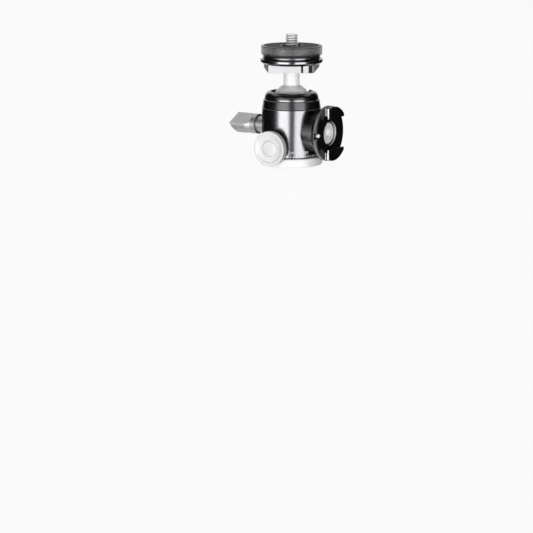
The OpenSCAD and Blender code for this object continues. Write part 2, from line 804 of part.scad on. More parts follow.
// Points on one ring of the spring's wire, at a share of the way along it
function wire_ring(share) =
    let (
        turn = 360 * spring_curls * share,
        coil_r = (spring_d - spring_wire_d) / 2,
        z = spring_wire_d / 2 + (spring_h - spring_wire_d) * share
    )
    [
        for (k = [0:wire_sides - 1])
            let (a = 360 * k / wire_sides, r = coil_r + spring_wire_d / 2 * cos(a))
                [r * cos(turn), r * sin(turn), z + spring_wire_d / 2 * sin(a)]
    ];

spring_rings = ceil(spring_curls * curl_rings);

// A coil spring that stands on z = 0, as one unbroken tube
module coil_spring() {
    points = [for (i = [0:spring_rings]) each wire_ring(i / spring_rings)];
    last = spring_rings * wire_sides;
    sides = [
        for (i = [0:spring_rings - 1], k = [0:wire_sides - 1])
            let (
                a = i * wire_sides + k,
                b = i * wire_sides + (k + 1) % wire_sides
            )
            each [[a, b, b + wire_sides], [a, b + wire_sides, a + wire_sides]]
    ];
    ends = [
        for (k = [1:wire_sides - 2])
            each [[0, k + 1, k], [last, last + k, last + k + 1]]
    ];
    polyhedron(points, concat(sides, ends));
}

echo("least gap between curls", (spring_h - spring_wire_d) / spring_curls - spring_wire_d);

module piston_springs() {
    color("silver") for (side = [-1, 1]) translate([0, side * spring_r, chamber_z + fit_gap]) coil_spring();
}

// Ball and stem

module ball_liner() {
    color("ivory") translate([0, 0, ball_z]) difference() {
        sphere(r = liner_out_r);
        sphere(r = liner_in_r);
        translate([0, 0, -liner_drop]) cylinder(r = 2 * ball_r, h = 2 * ball_d);
        translate([0, 0, -ball_d]) cylinder(d = liner_hole_d, h = ball_d);
    }
}

module ball() {
    color("darkgray") difference() {
        translate([0, 0, ball_z]) sphere(r = ball_r);
        rod(stem_z, stem_z + ball_r, ball_flat_r + overrun);
        rod(stem_z - stem_thread_l - fit_gap, stem_z + overrun, stem_thread_d / 2);
    }
}

module stem() {
    thread_r = stem_thread_d / 2 - fit_gap;
    fillet = [
        for (i = [0:curve_steps]) let (a = 90 * i / curve_steps)
            [stem_r + stem_fillet * (1 - sin(a)), stem_z + stem_fillet * (1 - cos(a))]
    ];
    color("gainsboro") difference() {
        turned(concat(
            [[0, stem_z - stem_thread_l], [thread_r, stem_z - stem_thread_l], [thread_r, stem_z]],
            fillet,
            [[stem_r, platform_z], [thread_r, platform_z], [thread_r, platform_z + stem_spigot_l],
             [0, platform_z + stem_spigot_l]]
        ));
        rod(platform_top_z - stud_shank_l - fit_gap, platform_top_z, stud_shank_d / 2);
    }
}

// Platform

// The two flats and two end bevels that are cut from the round block
module block_cuts() {
    depth = 2 * block_r;
    for (side = [0, 180]) rotate([0, 0, side]) {
        translate([-depth, block_flat / 2, platform_z - overrun])
            cube([2 * depth, depth, block_h + overrun]);
        translate([block_r - block_bevel, 0, platform_z]) rotate([0, 45, 0])
            translate([0, -depth, -depth]) cube([depth, 2 * depth, 2 * depth]);
    }
}

// One upright slot in each flat, with its near side at local X = start
module flat_slot(start, width, depth) {
    for (side = [0, 180]) rotate([0, 0, side])
        translate([start, -block_flat / 2 - overrun, platform_z - overrun])
            cube([width, depth + overrun, block_h + overrun]);
}

// The slot near one end of each flat, and the groove beside it
module block_slots() {
    flat_end = sqrt(pow(block_r, 2) - pow(block_flat / 2, 2));
    slot_start = flat_end - block_slot_inset - block_slot_w;
    flat_slot(slot_start, block_slot_w, block_slot_depth);
    flat_slot(slot_start - block_panel_w - block_groove_w, block_groove_w, block_groove_depth);
}

module platform() {
    slope_z = flange_z + flange_slope_h;
    crest_z = slope_z + flange_crest_h;
    color([0.07, 0.07, 0.08]) rotate([0, 0, platform_turn]) difference() {
        union() {
            difference() {
                rod(platform_z, flange_z, block_r);
                block_cuts();
                block_slots();
            }
            turned([
                [0, flange_z], [flange_foot_r, flange_z], [flange_r, slope_z], [flange_r, crest_z],
                [flange_r - flange_upper_slope_w, platform_top_z], [0, platform_top_z]
            ]);
        }
        rod(platform_z - overrun, platform_z + stem_spigot_l + fit_gap, stem_thread_d / 2);
        rod(platform_z, platform_top_z + overrun, stud_shank_d / 2);
    }
}

module camera_stud() {
    shank_r = stud_shank_d / 2 - fit_gap;
    flange_top = platform_top_z + stud_flange_h;
    color("silver") turned([
        [0, platform_top_z - stud_shank_l], [shank_r, platform_top_z - stud_shank_l],
        [shank_r, platform_top_z], [stud_flange_r, platform_top_z], [stud_flange_r, flange_top],
        [stud_neck_r, flange_top], [stud_neck_r, disc_top_z], [stud_r, disc_top_z],
        [stud_r, stud_top_z - stud_edge], [stud_r - stud_edge, stud_top_z],
        [0, stud_top_z]
    ]);
}

module lock_disc() {
    bore_r = stud_neck_r + disc_bore_gap;
    slope_z = disc_z + disc_foot_h;
    rim_low_z = slope_z + disc_slope_h;
    pocket_top = platform_top_z + stud_flange_h + disc_gap;
    color([0.14, 0.14, 0.15]) difference() {
        turned([
            [bore_r, disc_z], [disc_foot_r, disc_z], [disc_foot_r, slope_z],
            [disc_r - disc_edge, rim_low_z - disc_edge],
            [disc_r, rim_low_z], [disc_r, disc_top_z - disc_edge], [disc_r - disc_edge, disc_top_z],
            [bore_r, disc_top_z]
        ]);
        rod(disc_z - overrun, pocket_top, stud_flange_r + disc_gap);
        rod(disc_top_z - disc_well_depth, disc_top_z + overrun, disc_well_r);
        ring(disc_top_z + pad_rise - pad_t, pad_r + fit_gap, pad_bore_r - fit_gap, pad_t + overrun);
    }
}

module lock_disc_pad() {
    color("dimgray") ring(disc_top_z + pad_rise - pad_t, pad_r, pad_bore_r, pad_t);
}

// Lock handle

module lock_washer() {
    color("ivory") towards_handle()
        ring(lock_washer_x, spot_face_d / 2 - slide_gap, lock_screw_d / 2 + slide_gap, lock_washer_t);
}

module lock_screw() {
    screw_r = lock_screw_d / 2 - slide_gap;
    tip_x = wedge_reach + fit_gap;
    shoulder_x = tip_x + lock_tip_l;
    color("silver") towards_handle() turned([
        [0, tip_x], [lock_tip_d / 2, tip_x], [lock_tip_d / 2, shoulder_x], [screw_r, shoulder_x],
        [screw_r, handle_x + lock_screw_hold], [0, handle_x + lock_screw_hold]
    ]);
}

// The space milled away beyond one flat of the grip, at local +X
module grip_flat_cut() {
    flat_x = grip_flat / 2;
    start = grip_x;
    runout = [
        for (i = [0:curve_steps]) let (a = 90 * i / curve_steps)
            [flat_x + grip_runout_r * (1 - cos(a)), start + grip_runout_r * (1 - sin(a))]
    ];
    rotate([90, 0, 0]) linear_extrude(2 * grip_d, center = true) polygon(concat(
        [[flat_x, grip_end_x + overrun]], runout, [[grip_d, start], [grip_d, grip_end_x + overrun]]
    ));
}

// The space beyond the grip's slanted end, which leans back below the upper flat
module grip_end_cut() {
    translate([grip_flat / 2, 0, grip_end_x - grip_edge]) rotate([0, -grip_end_lean, 0])
        translate([-2 * grip_d, -grip_d, 0]) cube([4 * grip_d, 2 * grip_d, grip_d]);
}

module lock_handle() {
    neck_r = handle_neck_d / 2;
    rest_r = handle_collar_d / 2;
    color("lightgray") towards_handle() difference() {
        turned([
            [0, handle_x], [neck_r, handle_x], [neck_r, handle_collar_x], [rest_r, handle_collar_x],
            [rest_r, grip_x], [grip_r, grip_x + grip_taper_l], [grip_r, grip_end_x - grip_edge],
            [grip_r - grip_edge, grip_end_x], [0, grip_end_x]
        ]);
        rod(handle_x - overrun, handle_x + lock_screw_hold + fit_gap, lock_screw_d / 2 - slide_gap + fit_gap);
        rotate([0, 0, grip_turn]) {
            grip_flat_cut();
            mirror([1, 0, 0]) grip_flat_cut();
            grip_end_cut();
        }
    }
}

// Pan knob

module pan_spring_washer() {
    color("silver") towards_knob()
        ring(pan_washer_y + fit_gap, pan_washer_d / 2, pan_screw_d / 2 + slide_gap,
             pan_pocket_depth + knob_gap - fit_gap);
}

module pan_knob() {
    face = knob_face_y;
    dish = face - knob_dish_depth;
    rim_r = knob_r - knob_rim_w;
    cap_seat = dish + knob_cap_rise - knob_cap_t;
    head_seat = cap_seat - pan_screw_head_h - fit_gap;
    color("whitesmoke") towards_knob() difference() {
        turned([
            [0, knob_y], [knob_r - knob_edge, knob_y], [knob_r, knob_y + knob_edge], [knob_r, face - knob_edge],
            [knob_r - knob_edge, face], [rim_r, face], [rim_r - knob_dish_depth, dish], [0, dish]
        ]);
        rod(cap_seat, face + overrun, knob_cap_d / 2 + fit_gap);
        rod(head_seat, face, pan_screw_head_d / 2);
        rod(knob_y - overrun, face, pan_screw_d / 2);
    }
}

module pan_knob_cap() {
    cap_r = knob_cap_d / 2;
    dish = knob_face_y - knob_dish_depth;
    top = dish + knob_cap_rise;
    color("gainsboro") towards_knob() turned([
        [0, top - knob_cap_t], [cap_r, top - knob_cap_t], [cap_r, dish - knob_cap_rise],
        [cap_r - 2 * knob_cap_rise, top], [0, top]
    ]);
}

module pan_screw() {
    cap_seat = knob_face_y - knob_dish_depth + knob_cap_rise - knob_cap_t;
    head_y = cap_seat - pan_screw_head_h - fit_gap;
    screw_r = pan_screw_d / 2 - slide_gap;
    head_r = pan_screw_head_d / 2 - fit_gap;
    color("silver") towards_knob() turned([
        [0, pan_screw_y], [screw_r, pan_screw_y], [screw_r, head_y], [head_r, head_y],
        [head_r, head_y + pan_screw_head_h], [0, head_y + pan_screw_head_h]
    ]);
}

module pan_pad() {
    pin_r = pan_pad_d / 2;
    shoulder_y = pan_tip_y + pan_tip_l;
    color("goldenrod") towards_knob() turned([
        [0, pan_tip_y], [pan_pad_tip_d / 2, pan_tip_y], [pin_r, shoulder_y], [pin_r, shoulder_y + pan_pad_l],
        [0, shoulder_y + pan_pad_l]
    ]);
}

base_plate();
thread_adapter();
pan_drum();
base_screws();
pan_washer_lower();
pan_washer_upper();
housing();
pan_collar();
chamber_floor();
upper_seat();
shoe_disc();
shoe_screw();
shoe_key_pin();
piston();
wedge();
piston_springs();
ball_liner();
ball();
stem();
platform();
camera_stud();
lock_disc();
lock_disc_pad();
lock_washer();
lock_screw();
lock_handle();
pan_spring_washer();
pan_knob();
pan_knob_cap();
pan_screw();
pan_pad();
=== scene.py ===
"""Looks for the compact tripod ball head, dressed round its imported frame.

Sizes of pieces are in millimetres, and times MM they are in metres. The studio is in metres.
"""

import json
import logging
import math
from dataclasses import dataclass, field
from enum import Enum
from typing import Any, Sequence, Union

import bmesh
import bpy
import numpy as np
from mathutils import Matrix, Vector

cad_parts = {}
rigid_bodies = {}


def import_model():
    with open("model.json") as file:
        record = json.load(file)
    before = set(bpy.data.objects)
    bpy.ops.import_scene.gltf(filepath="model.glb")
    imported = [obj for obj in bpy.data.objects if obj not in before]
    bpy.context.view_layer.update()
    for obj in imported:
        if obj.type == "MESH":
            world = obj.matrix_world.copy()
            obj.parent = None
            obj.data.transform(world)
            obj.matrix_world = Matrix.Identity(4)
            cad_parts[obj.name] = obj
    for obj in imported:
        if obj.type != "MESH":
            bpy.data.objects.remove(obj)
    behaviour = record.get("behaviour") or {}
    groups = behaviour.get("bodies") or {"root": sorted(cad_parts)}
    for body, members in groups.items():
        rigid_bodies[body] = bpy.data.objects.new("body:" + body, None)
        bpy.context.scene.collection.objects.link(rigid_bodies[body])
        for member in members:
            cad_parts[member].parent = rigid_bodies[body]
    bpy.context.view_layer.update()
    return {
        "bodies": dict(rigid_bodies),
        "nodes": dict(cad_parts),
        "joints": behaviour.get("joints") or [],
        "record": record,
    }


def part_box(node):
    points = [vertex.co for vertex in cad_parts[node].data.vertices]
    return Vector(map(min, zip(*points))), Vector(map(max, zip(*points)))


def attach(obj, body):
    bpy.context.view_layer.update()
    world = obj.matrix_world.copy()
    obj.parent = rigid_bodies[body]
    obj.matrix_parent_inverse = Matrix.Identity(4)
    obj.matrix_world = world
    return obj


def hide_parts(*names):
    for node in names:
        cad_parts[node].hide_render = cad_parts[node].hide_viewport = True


LOG = logging.getLogger("ball_head")
MM = 0.001
FULL_TURN = 2 * math.pi

# In millimetres: heights this close are the same, and a radius this close lies on the face.
HAIR = 1e-6
ON_FACE = 0.01

# The "relief" attribute at the foot of a groove. It is 0 on plain faces and 1 at a groove's top.
GROOVE_FOOT = 0.25

# Noise below the first is as dark as a finish gets, and above the second as pale.
TONES = (0.3, 0.7)

Colour = tuple[float, float, float]
Place = tuple[float, float, float]
Points = np.ndarray


# Shader maths


class Term:
    """One output socket of a node, so that shader maths reads as Python."""

    def __init__(self, nodes: "Nodes", socket: bpy.types.NodeSocket) -> None:
        """Keeps the nodes that the socket belongs to."""
        self.nodes = nodes
        self.socket = socket

    def __add__(self, other: "Number") -> "Term":
        """The sum."""
        return self.nodes.maths("ADD", self, other)

    def __radd__(self, other: "Number") -> "Term":
        """The sum, with the plain number first."""
        return self.nodes.maths("ADD", other, self)

    def __sub__(self, other: "Number") -> "Term":
        """The difference."""
        return self.nodes.maths("SUBTRACT", self, other)

    def __rsub__(self, other: "Number") -> "Term":
        """A plain number less this term."""
        return self.nodes.maths("SUBTRACT", other, self)

    def __mul__(self, other: "Number") -> "Term":
        """The product."""
        return self.nodes.maths("MULTIPLY", self, other)

    def __rmul__(self, other: "Number") -> "Term":
        """The product, with the plain number first."""
        return self.nodes.maths("MULTIPLY", other, self)

    def within(self, low: float, high: float) -> "Term":
        """This term brought to 0 at low and 1 at high, and held there beyond them."""
        settings = {"clamp": True}
        return self.nodes.node("ShaderNodeMapRange", settings, {0: self, 1: low, 2: high})


Number = Union[Term, float]


class Nodes:
    """The node tree of a material or a world."""

    def __init__(self, owner: Union[bpy.types.Material, bpy.types.World]) -> None:
        """Empties the owner's tree."""
        owner.use_nodes = True
        self.tree = owner.node_tree
        self.tree.nodes.clear()

    def feed(self, socket: bpy.types.NodeSocket, value: Any) -> None:
        """Links a term to a socket, or sets the socket's own value.

        Args:
            socket: The input socket.
            value: A term, or a plain value of the socket's kind.
        """
        if isinstance(value, Term):
            self.tree.links.new(value.socket, socket)
        else:
            socket.default_value = value

    def node(
        self, kind: str, settings: dict[str, Any], inputs: dict[Any, Any], output: Union[int, str] = 0
    ) -> Term:
        """Adds a node.

        Args:
            kind: The node's type.
            settings: Its properties, set before its sockets.
            inputs: The values or terms of its input sockets, by name or number.
            output: The output socket to use.

        Returns:
            The chosen output.
        """
        made = self.tree.nodes.new(kind)
        for key, value in settings.items():
            setattr(made, key, value)
        for key, value in inputs.items():
            self.feed(made.inputs[key], value)
        return Term(self, made.outputs[output])

    def maths(self, operation: str, *terms: Number) -> Term:
        """A Math node with that operation on the terms."""
        return self.node("ShaderNodeMath", {"operation": operation}, dict(enumerate(terms)))

    def end(self, kind: str, surface: Term) -> None:
        """Ends the tree in an output node of that type."""
        self.feed(self.tree.nodes.new(kind).inputs["Surface"], surface)

    def seen(self) -> Term:
        """1 for camera, glossy and transmission rays and 0 for the rest.

        Returns:
            The mask.
        """
        camera, glossy, clear = (
            self.node("ShaderNodeLightPath", {}, {}, f"Is {ray} Ray")
            for ray in ("Camera", "Glossy", "Transmission")
        )
        return self.maths("MAXIMUM", self.maths("MAXIMUM", camera, glossy), clear)


class Recipe(Nodes):
    """One material with a Principled shader, and the nodes that feed it."""

    def __init__(self, name: str) -> None:
        """Starts an empty material of that name."""
        self.material = bpy.data.materials.new(name)
        super().__init__(self.material)
        self.shader = self.tree.nodes.new("ShaderNodeBsdfPrincipled")
        self.end("ShaderNodeOutputMaterial", Term(self, self.shader.outputs[0]))

    def place(self) -> Term:
        """The point's place on the object."""
        return self.node("ShaderNodeTexCoord", {}, {}, "Object")

    def noise(self, vector: Term, scale: float, detail: float = 2.0) -> Term:
        """Smooth noise from 0 to 1 with that many features in a metre."""
        inputs = {"Vector": vector, "Scale": scale, "Detail": detail}
        return self.node("ShaderNodeTexNoise", {}, inputs)

    def bump(self, height: Term) -> Term:
        """The surface's normal, bent by a height in metres."""
        return self.node("ShaderNodeBump", {}, {"Strength": 1.0, "Distance": 1.0, "Height": height})

    def mix(self, factor: Number, low: Union[Colour, Term], high: Union[Colour, Term]) -> Term:
        """A colour that goes from low to high as the factor goes from 0 to 1."""
        ends = [end if isinstance(end, Term) else (*end, 1) for end in (low, high)]
        return self.node("ShaderNodeMix", {"data_type": "RGBA"}, {0: factor, 6: ends[0], 7: ends[1]}, 2)

    def shades(self, colour: Colour, share: float, tone: Term) -> Term:
        """The colour, from darker to lighter by that share of it as the tone rises.

        Args:
            colour: The middle colour.
            share: How much darker and lighter it gets.
            tone: Noise from 0 to 1.

        Returns:
            The colour's term.
        """
        low = tuple(part * (1 - share) for part in colour)
        high = tuple(min(1.0, part * (1 + share)) for part in colour)
        return self.mix(tone.within(*TONES), low, high)

    def about(self, value: float, spread: float, tone: Term) -> Term:
        """The value, changed by that share of it from the lowest tone to the highest."""
        return value * (1 - spread / 2 + spread * tone)

    def dress(self, **sockets: Any) -> bpy.types.Material:
        """Feeds the shader.

        Args:
            **sockets: Values or terms by the socket's name in small letters, with _ for a space.

        Returns:
            The finished material.
        """
        named = {socket.name.lower().replace(" ", "_"): socket for socket in self.shader.inputs}
        for name, value in sockets.items():
            self.feed(named[name], (*value, 1) if isinstance(value, tuple) else value)
        return self.material


class Lie(Enum):
    """The line that a turned piece was turned about."""

    UPRIGHT = "Z"
    SHOE = "X"
    KNOB = "Y"


@dataclass(frozen=True)
class Turning:
    """The fine rings that a lathe leaves, round one line.

    A ring's height is noise of two numbers, the reach along the line and the distance from it.
    """

    lie: Lie
    centre: Place
    pitch: float = 0.09 * MM
    depth: float = 1.6e-6

    def rings(self, recipe: Recipe) -> Term:
        """Noise that is the same all the way round the line.

        Args:
            recipe: The material's recipe.

        Returns:
            The height of the rings, from 0 to 1.
        """
        moved = recipe.node(
            "ShaderNodeVectorMath", {"operation": "SUBTRACT"}, {0: recipe.place(), 1: self.centre}
        )
        parts = [recipe.node("ShaderNodeSeparateXYZ", {}, {0: moved}, i) for i in range(3)]
        along = parts.pop("XYZ".index(self.lie.value))
        away = recipe.maths("SQRT", parts[0] * parts[0] + parts[1] * parts[1])
        spot = recipe.node("ShaderNodeCombineXYZ", {}, {0: along, 1: away})
        return recipe.noise(spot, 1 / self.pitch, detail=3.0)


@dataclass(frozen=True)
class Zone:
    """A part of a piece painted with another look, the same on both sides, mostly painted
    highlights, glints and shade.

    The mask is 1 where the distances from the axis, along a line turned by so many degrees and
    square to it, both lie between their two ends, below top. All are in millimetres.
    """

    turn: float
    along: tuple[float, float]
    out: tuple[float, float]
    top: float
    colour: Colour
    roughness: float
    metallic: float = 1.0
    fade: float = 0.03

    def mask(self, recipe: Recipe) -> Term:
        """1 in the zone and 0 elsewhere.

        Args:
            recipe: The material's recipe.

        Returns:
            The mask.
        """
        angle = math.radians(self.turn)
        x, y, z = (recipe.node("ShaderNodeSeparateXYZ", {}, {0: recipe.place()}, i) for i in range(3))
        along = recipe.maths("ABSOLUTE", x * math.cos(angle) + y * math.sin(angle))
        out = recipe.maths("ABSOLUTE", x * math.sin(angle) - y * math.cos(angle))
        inside = 1 - z.within(self.top * MM, (self.top + self.fade) * MM)
        for reach, (low, high) in ((along, self.along), (out, self.out)):
            inside = inside * reach.within((low - self.fade) * MM, low * MM)
            inside = inside * (1 - reach.within(high * MM, (high + self.fade) * MM))
        return inside


@dataclass(frozen=True)
class Grooves:
    """Colours of a knurl, a row of ribs or a thread: painted shade at the foot of its grooves,
    and tops that are painted paler as highlights on dark pieces.

    The mesh's own "relief" attribute says where they are.
    """

    # foot is painted shade, and top is painted paler than a dark piece as a highlight.
    foot: Colour
    top: Colour

    def over(self, recipe: Recipe, plain: Term) -> Term:
        """The piece's plain colour with the grooves' painted shade and highlights laid over it.

        Args:
            recipe: The material's recipe.
            plain: The colour of plain faces.

        Returns:
            The colour of the whole piece.
        """
        place = recipe.node("ShaderNodeAttribute", {"attribute_name": "relief"}, {}, "Fac")
        cut = recipe.mix(place.within(GROOVE_FOOT, 1.0), self.foot, self.top)
        return recipe.mix(place.within(0.0, GROOVE_FOOT), plain, cut)


@dataclass(frozen=True)
class Metal:
    """A bare or anodised metal, with blasted grain, turned rings and rubbed patches."""

    name: str
    colour: Colour
    roughness: float
    metallic: float = 1.0
    grain: float = 0.16 * MM
    grain_depth: float = 2.5e-6
    shade: float = 0.12
    spread: float = 0.3
    patch: float = 7 * MM
    turning: Union[Turning, None] = None
    # grooves carries painted shade and highlights, and zones mostly painted highlights, glints and
    # shade.
    grooves: Union[Grooves, None] = None
    zones: tuple[Zone, ...] = ()

    def material(self) -> bpy.types.Material:
        """Builds the node tree.

        Grain and rings make the bump, and patches and rings the roughness and colour. The painted
        shade and highlights of grooves, and the look of each zone, mostly painted highlights, glints
        and shade, are laid over them.

        Returns:
            The finished material.
        """
        recipe = Recipe(self.name)
        height = recipe.noise(recipe.place(), 1 / self.grain) * self.grain_depth
        tone = recipe.noise(recipe.place(), 1 / self.patch, detail=4.0)
        if self.turning:
            rings = self.turning.rings(recipe)
            height = height + rings * self.turning.depth
            tone = tone * 0.5 + rings * 0.5
        colour = recipe.shades(self.colour, self.shade, tone)
        rough = recipe.about(self.roughness, self.spread, tone)
        metallic: Number = self.metallic
        if self.grooves:
            colour = self.grooves.over(recipe, colour)
        for zone in self.zones:
            mask = zone.mask(recipe)
            colour = recipe.mix(mask, colour, zone.colour)
            rough = rough * (1 - mask) + mask * zone.roughness
            metallic = (1 - mask) * metallic + mask * zone.metallic
        bump = recipe.bump(height)
        return recipe.dress(base_color=colour, roughness=rough, metallic=metallic, normal=bump)


@dataclass(frozen=True)
class Plastic:
    """A moulded plastic or a rubber with a fine grain, or a laser's marks."""

    name: str
    colour: Colour
    roughness: float
    grain: float = 0.3 * MM
    grain_depth: float = 8e-6
    shade: float = 0.1
    spread: float = 0.2

    def material(self) -> bpy.types.Material:
        """Builds the node tree: grain in the bump and the roughness, and a light change of colour.

        Returns:
            The finished material.
        """
        recipe = Recipe(self.name)
        grain = recipe.noise(recipe.place(), 1 / self.grain, detail=3.0)
        return recipe.dress(
            base_color=recipe.shades(self.colour, self.shade, grain),
            roughness=recipe.about(self.roughness, self.spread, grain),
            metallic=0.0,
            normal=recipe.bump(grain * self.grain_depth),
        )


AXIS: Place = (0.0, 0.0, 0.0)
SHOE_AXIS: Place = (0.0, 0.0, 17.25 * MM)
LOCK_AXIS: Place = (0.0, 0.0, 18.9 * MM)
KNOB_AXIS: Place = (0.0, 0.0, 10.4 * MM)
FLATS_TURN = 28.0
FLANGE_FOOT = 51.45
JAW_TURN = 90.0
JAW_END = (4.6, 4.8)
JAW_TOP = 40.0
BLACK: Colour = (0.13, 0.13, 0.135)
# Painted shade in the platform's slots and on the jaws' end faces, and the painted glints on those
# faces.
SHADE_BLACK: Colour = (0.02, 0.02, 0.02)
PAINTED_GLINT: Colour = (0.9, 0.9, 0.9)


class Finish(Enum):
    """Every finish on the head: its name, colour, roughness and how metallic it is, and its marks.
    """

    HOUSING = Metal("housing_black", BLACK, 0.24, turning=Turning(Lie.UPRIGHT, AXIS))
    PLATFORM = Metal(
        "platform_black", BLACK, 0.2, turning=Turning(Lie.UPRIGHT, AXIS, 0.2 * MM),
        zones=(
            # Painted highlights on the block's flats, painted shadow in the slots in them, and the
            # block's ends.
            Zone(FLATS_TURN, (0.0, 11.36), (8.47, 8.6), FLANGE_FOOT, (0.58, 0.58, 0.59), 0.5, 0.1),
            Zone(FLATS_TURN, (5.1, 11.2), (7.4, 8.43), FLANGE_FOOT, SHADE_BLACK, 0.5),
            Zone(FLATS_TURN, (11.42, 15.0), (0.0, 8.45), FLANGE_FOOT, (0.3, 0.3, 0.31), 0.55, 0.6),
        ),
    )
    DISC = Metal(
        "disc_black", BLACK, 0.3, turning=Turning(Lie.UPRIGHT, AXIS),
        # Painted shade in the knurl's grooves and painted highlights on its tops.
        grooves=Grooves((0.0, 0.0, 0.0), (0.75, 0.75, 0.76)),
    )
    SHOE = Metal(
        "shoe_black", (0.06, 0.06, 0.063), 0.34, turning=Turning(Lie.SHOE, SHOE_AXIS),
        zones=(
            # Painted shade on the jaws' end faces, and two painted glints on each.
            Zone(JAW_TURN, JAW_END, (23.0, 25.6), JAW_TOP, SHADE_BLACK, 0.5),
            Zone(JAW_TURN, JAW_END, (23.0, 23.4), JAW_TOP, PAINTED_GLINT, 0.4, 0.3),
            Zone(JAW_TURN, JAW_END, (24.1, 24.9), JAW_TOP, PAINTED_GLINT, 0.4, 0.3),
        ),
    )
    RING = Metal("ring_silver", (0.7, 0.7, 0.71), 0.5, 0.08, turning=Turning(Lie.UPRIGHT, AXIS))
    KNOB = Metal(
        "knob_silver", (0.62, 0.62, 0.63), 0.5, 0.2, turning=Turning(Lie.KNOB, KNOB_AXIS),
        # Painted shade between the ribs.
        grooves=Grooves((0.01, 0.01, 0.01), (0.62, 0.62, 0.63)),
    )
    STEM = Metal("stem_silver", (0.74, 0.74, 0.75), 0.55, 0.05, turning=Turning(Lie.UPRIGHT, AXIS))
    BALL = Metal("ball_grey", (0.8, 0.8, 0.81), 0.42, 0.3, grain=0.1 * MM)
    HANDLE = Metal("handle_aluminium", (0.4, 0.4, 0.41), 0.45, turning=Turning(Lie.SHOE, LOCK_AXIS))
    MACHINED = Metal("machined_aluminium", (0.75, 0.75, 0.77), 0.3)
    STEEL = Metal("stud_steel", (0.78, 0.78, 0.77), 0.3, turning=Turning(Lie.UPRIGHT, AXIS))
    SCREW_STEEL = Metal(
        "screw_steel", (0.82, 0.82, 0.81), 0.35, 0.35, turning=Turning(Lie.SHOE, SHOE_AXIS)
    )
    STUD = Metal(
        "stud_bright", (0.8, 0.8, 0.79), 0.4, 0.4, turning=Turning(Lie.UPRIGHT, AXIS),
        # Painted shade in the thread's roots, and tops painted a little paler.
        grooves=Grooves((0.3, 0.3, 0.3), (0.85, 0.85, 0.84)),
    )
    EDGE = Metal(
        # Painted shade in the knurl's grooves and painted highlights on its tops.
        "edge_grey", (0.12, 0.12, 0.125), 0.35, grooves=Grooves((0.01, 0.01, 0.01), (0.6, 0.6, 0.61))
    )
    OXIDE = Metal("black_oxide", (0.12, 0.12, 0.13), 0.42)
    BRASS = Metal("wedge_brass", (0.72, 0.55, 0.28), 0.32)
    ACETAL = Plastic("acetal", (0.85, 0.84, 0.8), 0.45)
    RUBBER = Plastic("pad_rubber", (0.1, 0.1, 0.1), 0.6, grain=0.5 * MM, grain_depth=2e-5)
    MARKS = Plastic("laser_marks", (0.72, 0.72, 0.72), 0.6)

    def of(self) -> bpy.types.Material:
        """The finish's material, made the first time that it is wanted."""
        return bpy.data.materials.get(self.value.name) or self.value.material()


# Meshes


# In metres: points this close are merged, in a new mesh and in a copy of a CAD node.
WELD = 1e-7
CAD_WELD = 1e-6

# In metres: an edge shorter than this is taken out with its faces.
SPECK = 1e-8

# Faces of a CAD node that are bent by less than this many degrees become one.
FLAT = 0.4


def placed(name: str, data: bpy.types.ID) -> bpy.types.Object:
    """Makes an object of a mesh, lamp or camera and links it to the scene, at the origin.

    Args:
        name: The object's name.
        data: What it shows.

    Returns:
        The new object.
    """
    made = bpy.data.objects.new(name, data)
    bpy.context.scene.collection.objects.link(made)
    return made


def shape(
    name: str,
    vertices: Points,
    faces: Sequence[Sequence[int]],
    smooth: float = 35.0,
    relief: Union[Points, None] = None,
) -> bpy.types.Object:
    """Makes an object from arrays, with doubles merged and faces pointing outwards.

    Args:
        name: The piece's name.
        vertices: The points, with x, y and z on the last axis.
        faces: The corners of each face.
        smooth: Edges bent by less than this many degrees are shaded smooth.
        relief: The "relief" attribute of each point, for a piece with grooves.

    Returns:
        The new object at the origin.
    """
    mesh = bpy.data.meshes.new(name)
    mesh.from_pydata(vertices.reshape(-1, 3).tolist(), [], np.asarray(faces).tolist())
    if relief is not None:
        marks = mesh.attributes.new("relief", "FLOAT", "POINT")
        marks.data.foreach_set("value", relief.ravel().astype(np.float32))
    tidy = bmesh.new()
    tidy.from_mesh(mesh)
    bmesh.ops.remove_doubles(tidy, verts=tidy.verts, dist=WELD)
    bmesh.ops.dissolve_degenerate(tidy, edges=tidy.edges, dist=SPECK)
    bmesh.ops.recalc_face_normals(tidy, faces=tidy.faces)
    tidy.to_mesh(mesh)
    tidy.free()
    made = placed(name, mesh)
    shade(made, smooth)
    return made


def shade(piece: bpy.types.Object, smooth: float) -> None:
    """Shades a mesh smooth, apart from edges bent by more than so many degrees."""
    piece.data.shade_smooth()
    piece.data.set_sharp_from_angle(angle=math.radians(smooth))


def grid_faces(rows: int, columns: int, round_rows: bool, round_columns: bool) -> Points:
    """The quads of a grid of points, as indices, where a side that is closed joins its two ends.

    Args:
        rows: Points up the grid.
        columns: Points across it.
        round_rows: Whether the last row joins the first.
        round_columns: Whether the last column joins the first.

    Returns:
        Four corners a face.
    """
    row = np.arange(rows if round_rows else rows - 1)
    column = np.arange(columns if round_columns else columns - 1)
    a, b = (part.ravel() for part in np.meshgrid(row, column, indexing="ij"))
    c, d = (a + 1) % rows, (b + 1) % columns
    return np.stack([a * columns + b, a * columns + d, c * columns + d, c * columns + b], axis=1)


class Seat(Enum):
    """How a piece drawn along its own Z lies on the head."""

    UPRIGHT = 0
    SHOE = 1
    KNOB = 2

    def put(self, points: Points) -> Points:
        """Turns and lifts points from a piece's own frame into the head's.

        Args:
            points: The points in metres, with x, y and z on the last axis.

        Returns:
            The points on the head.
        """
        x, y, z = points[..., 0], points[..., 1], points[..., 2]
        if self is Seat.SHOE:
            return np.stack([z, y, SHOE_AXIS[2] - x], axis=-1)
        if self is Seat.KNOB:
            return np.stack([x, -z, KNOB_AXIS[2] + y], axis=-1)
        return points


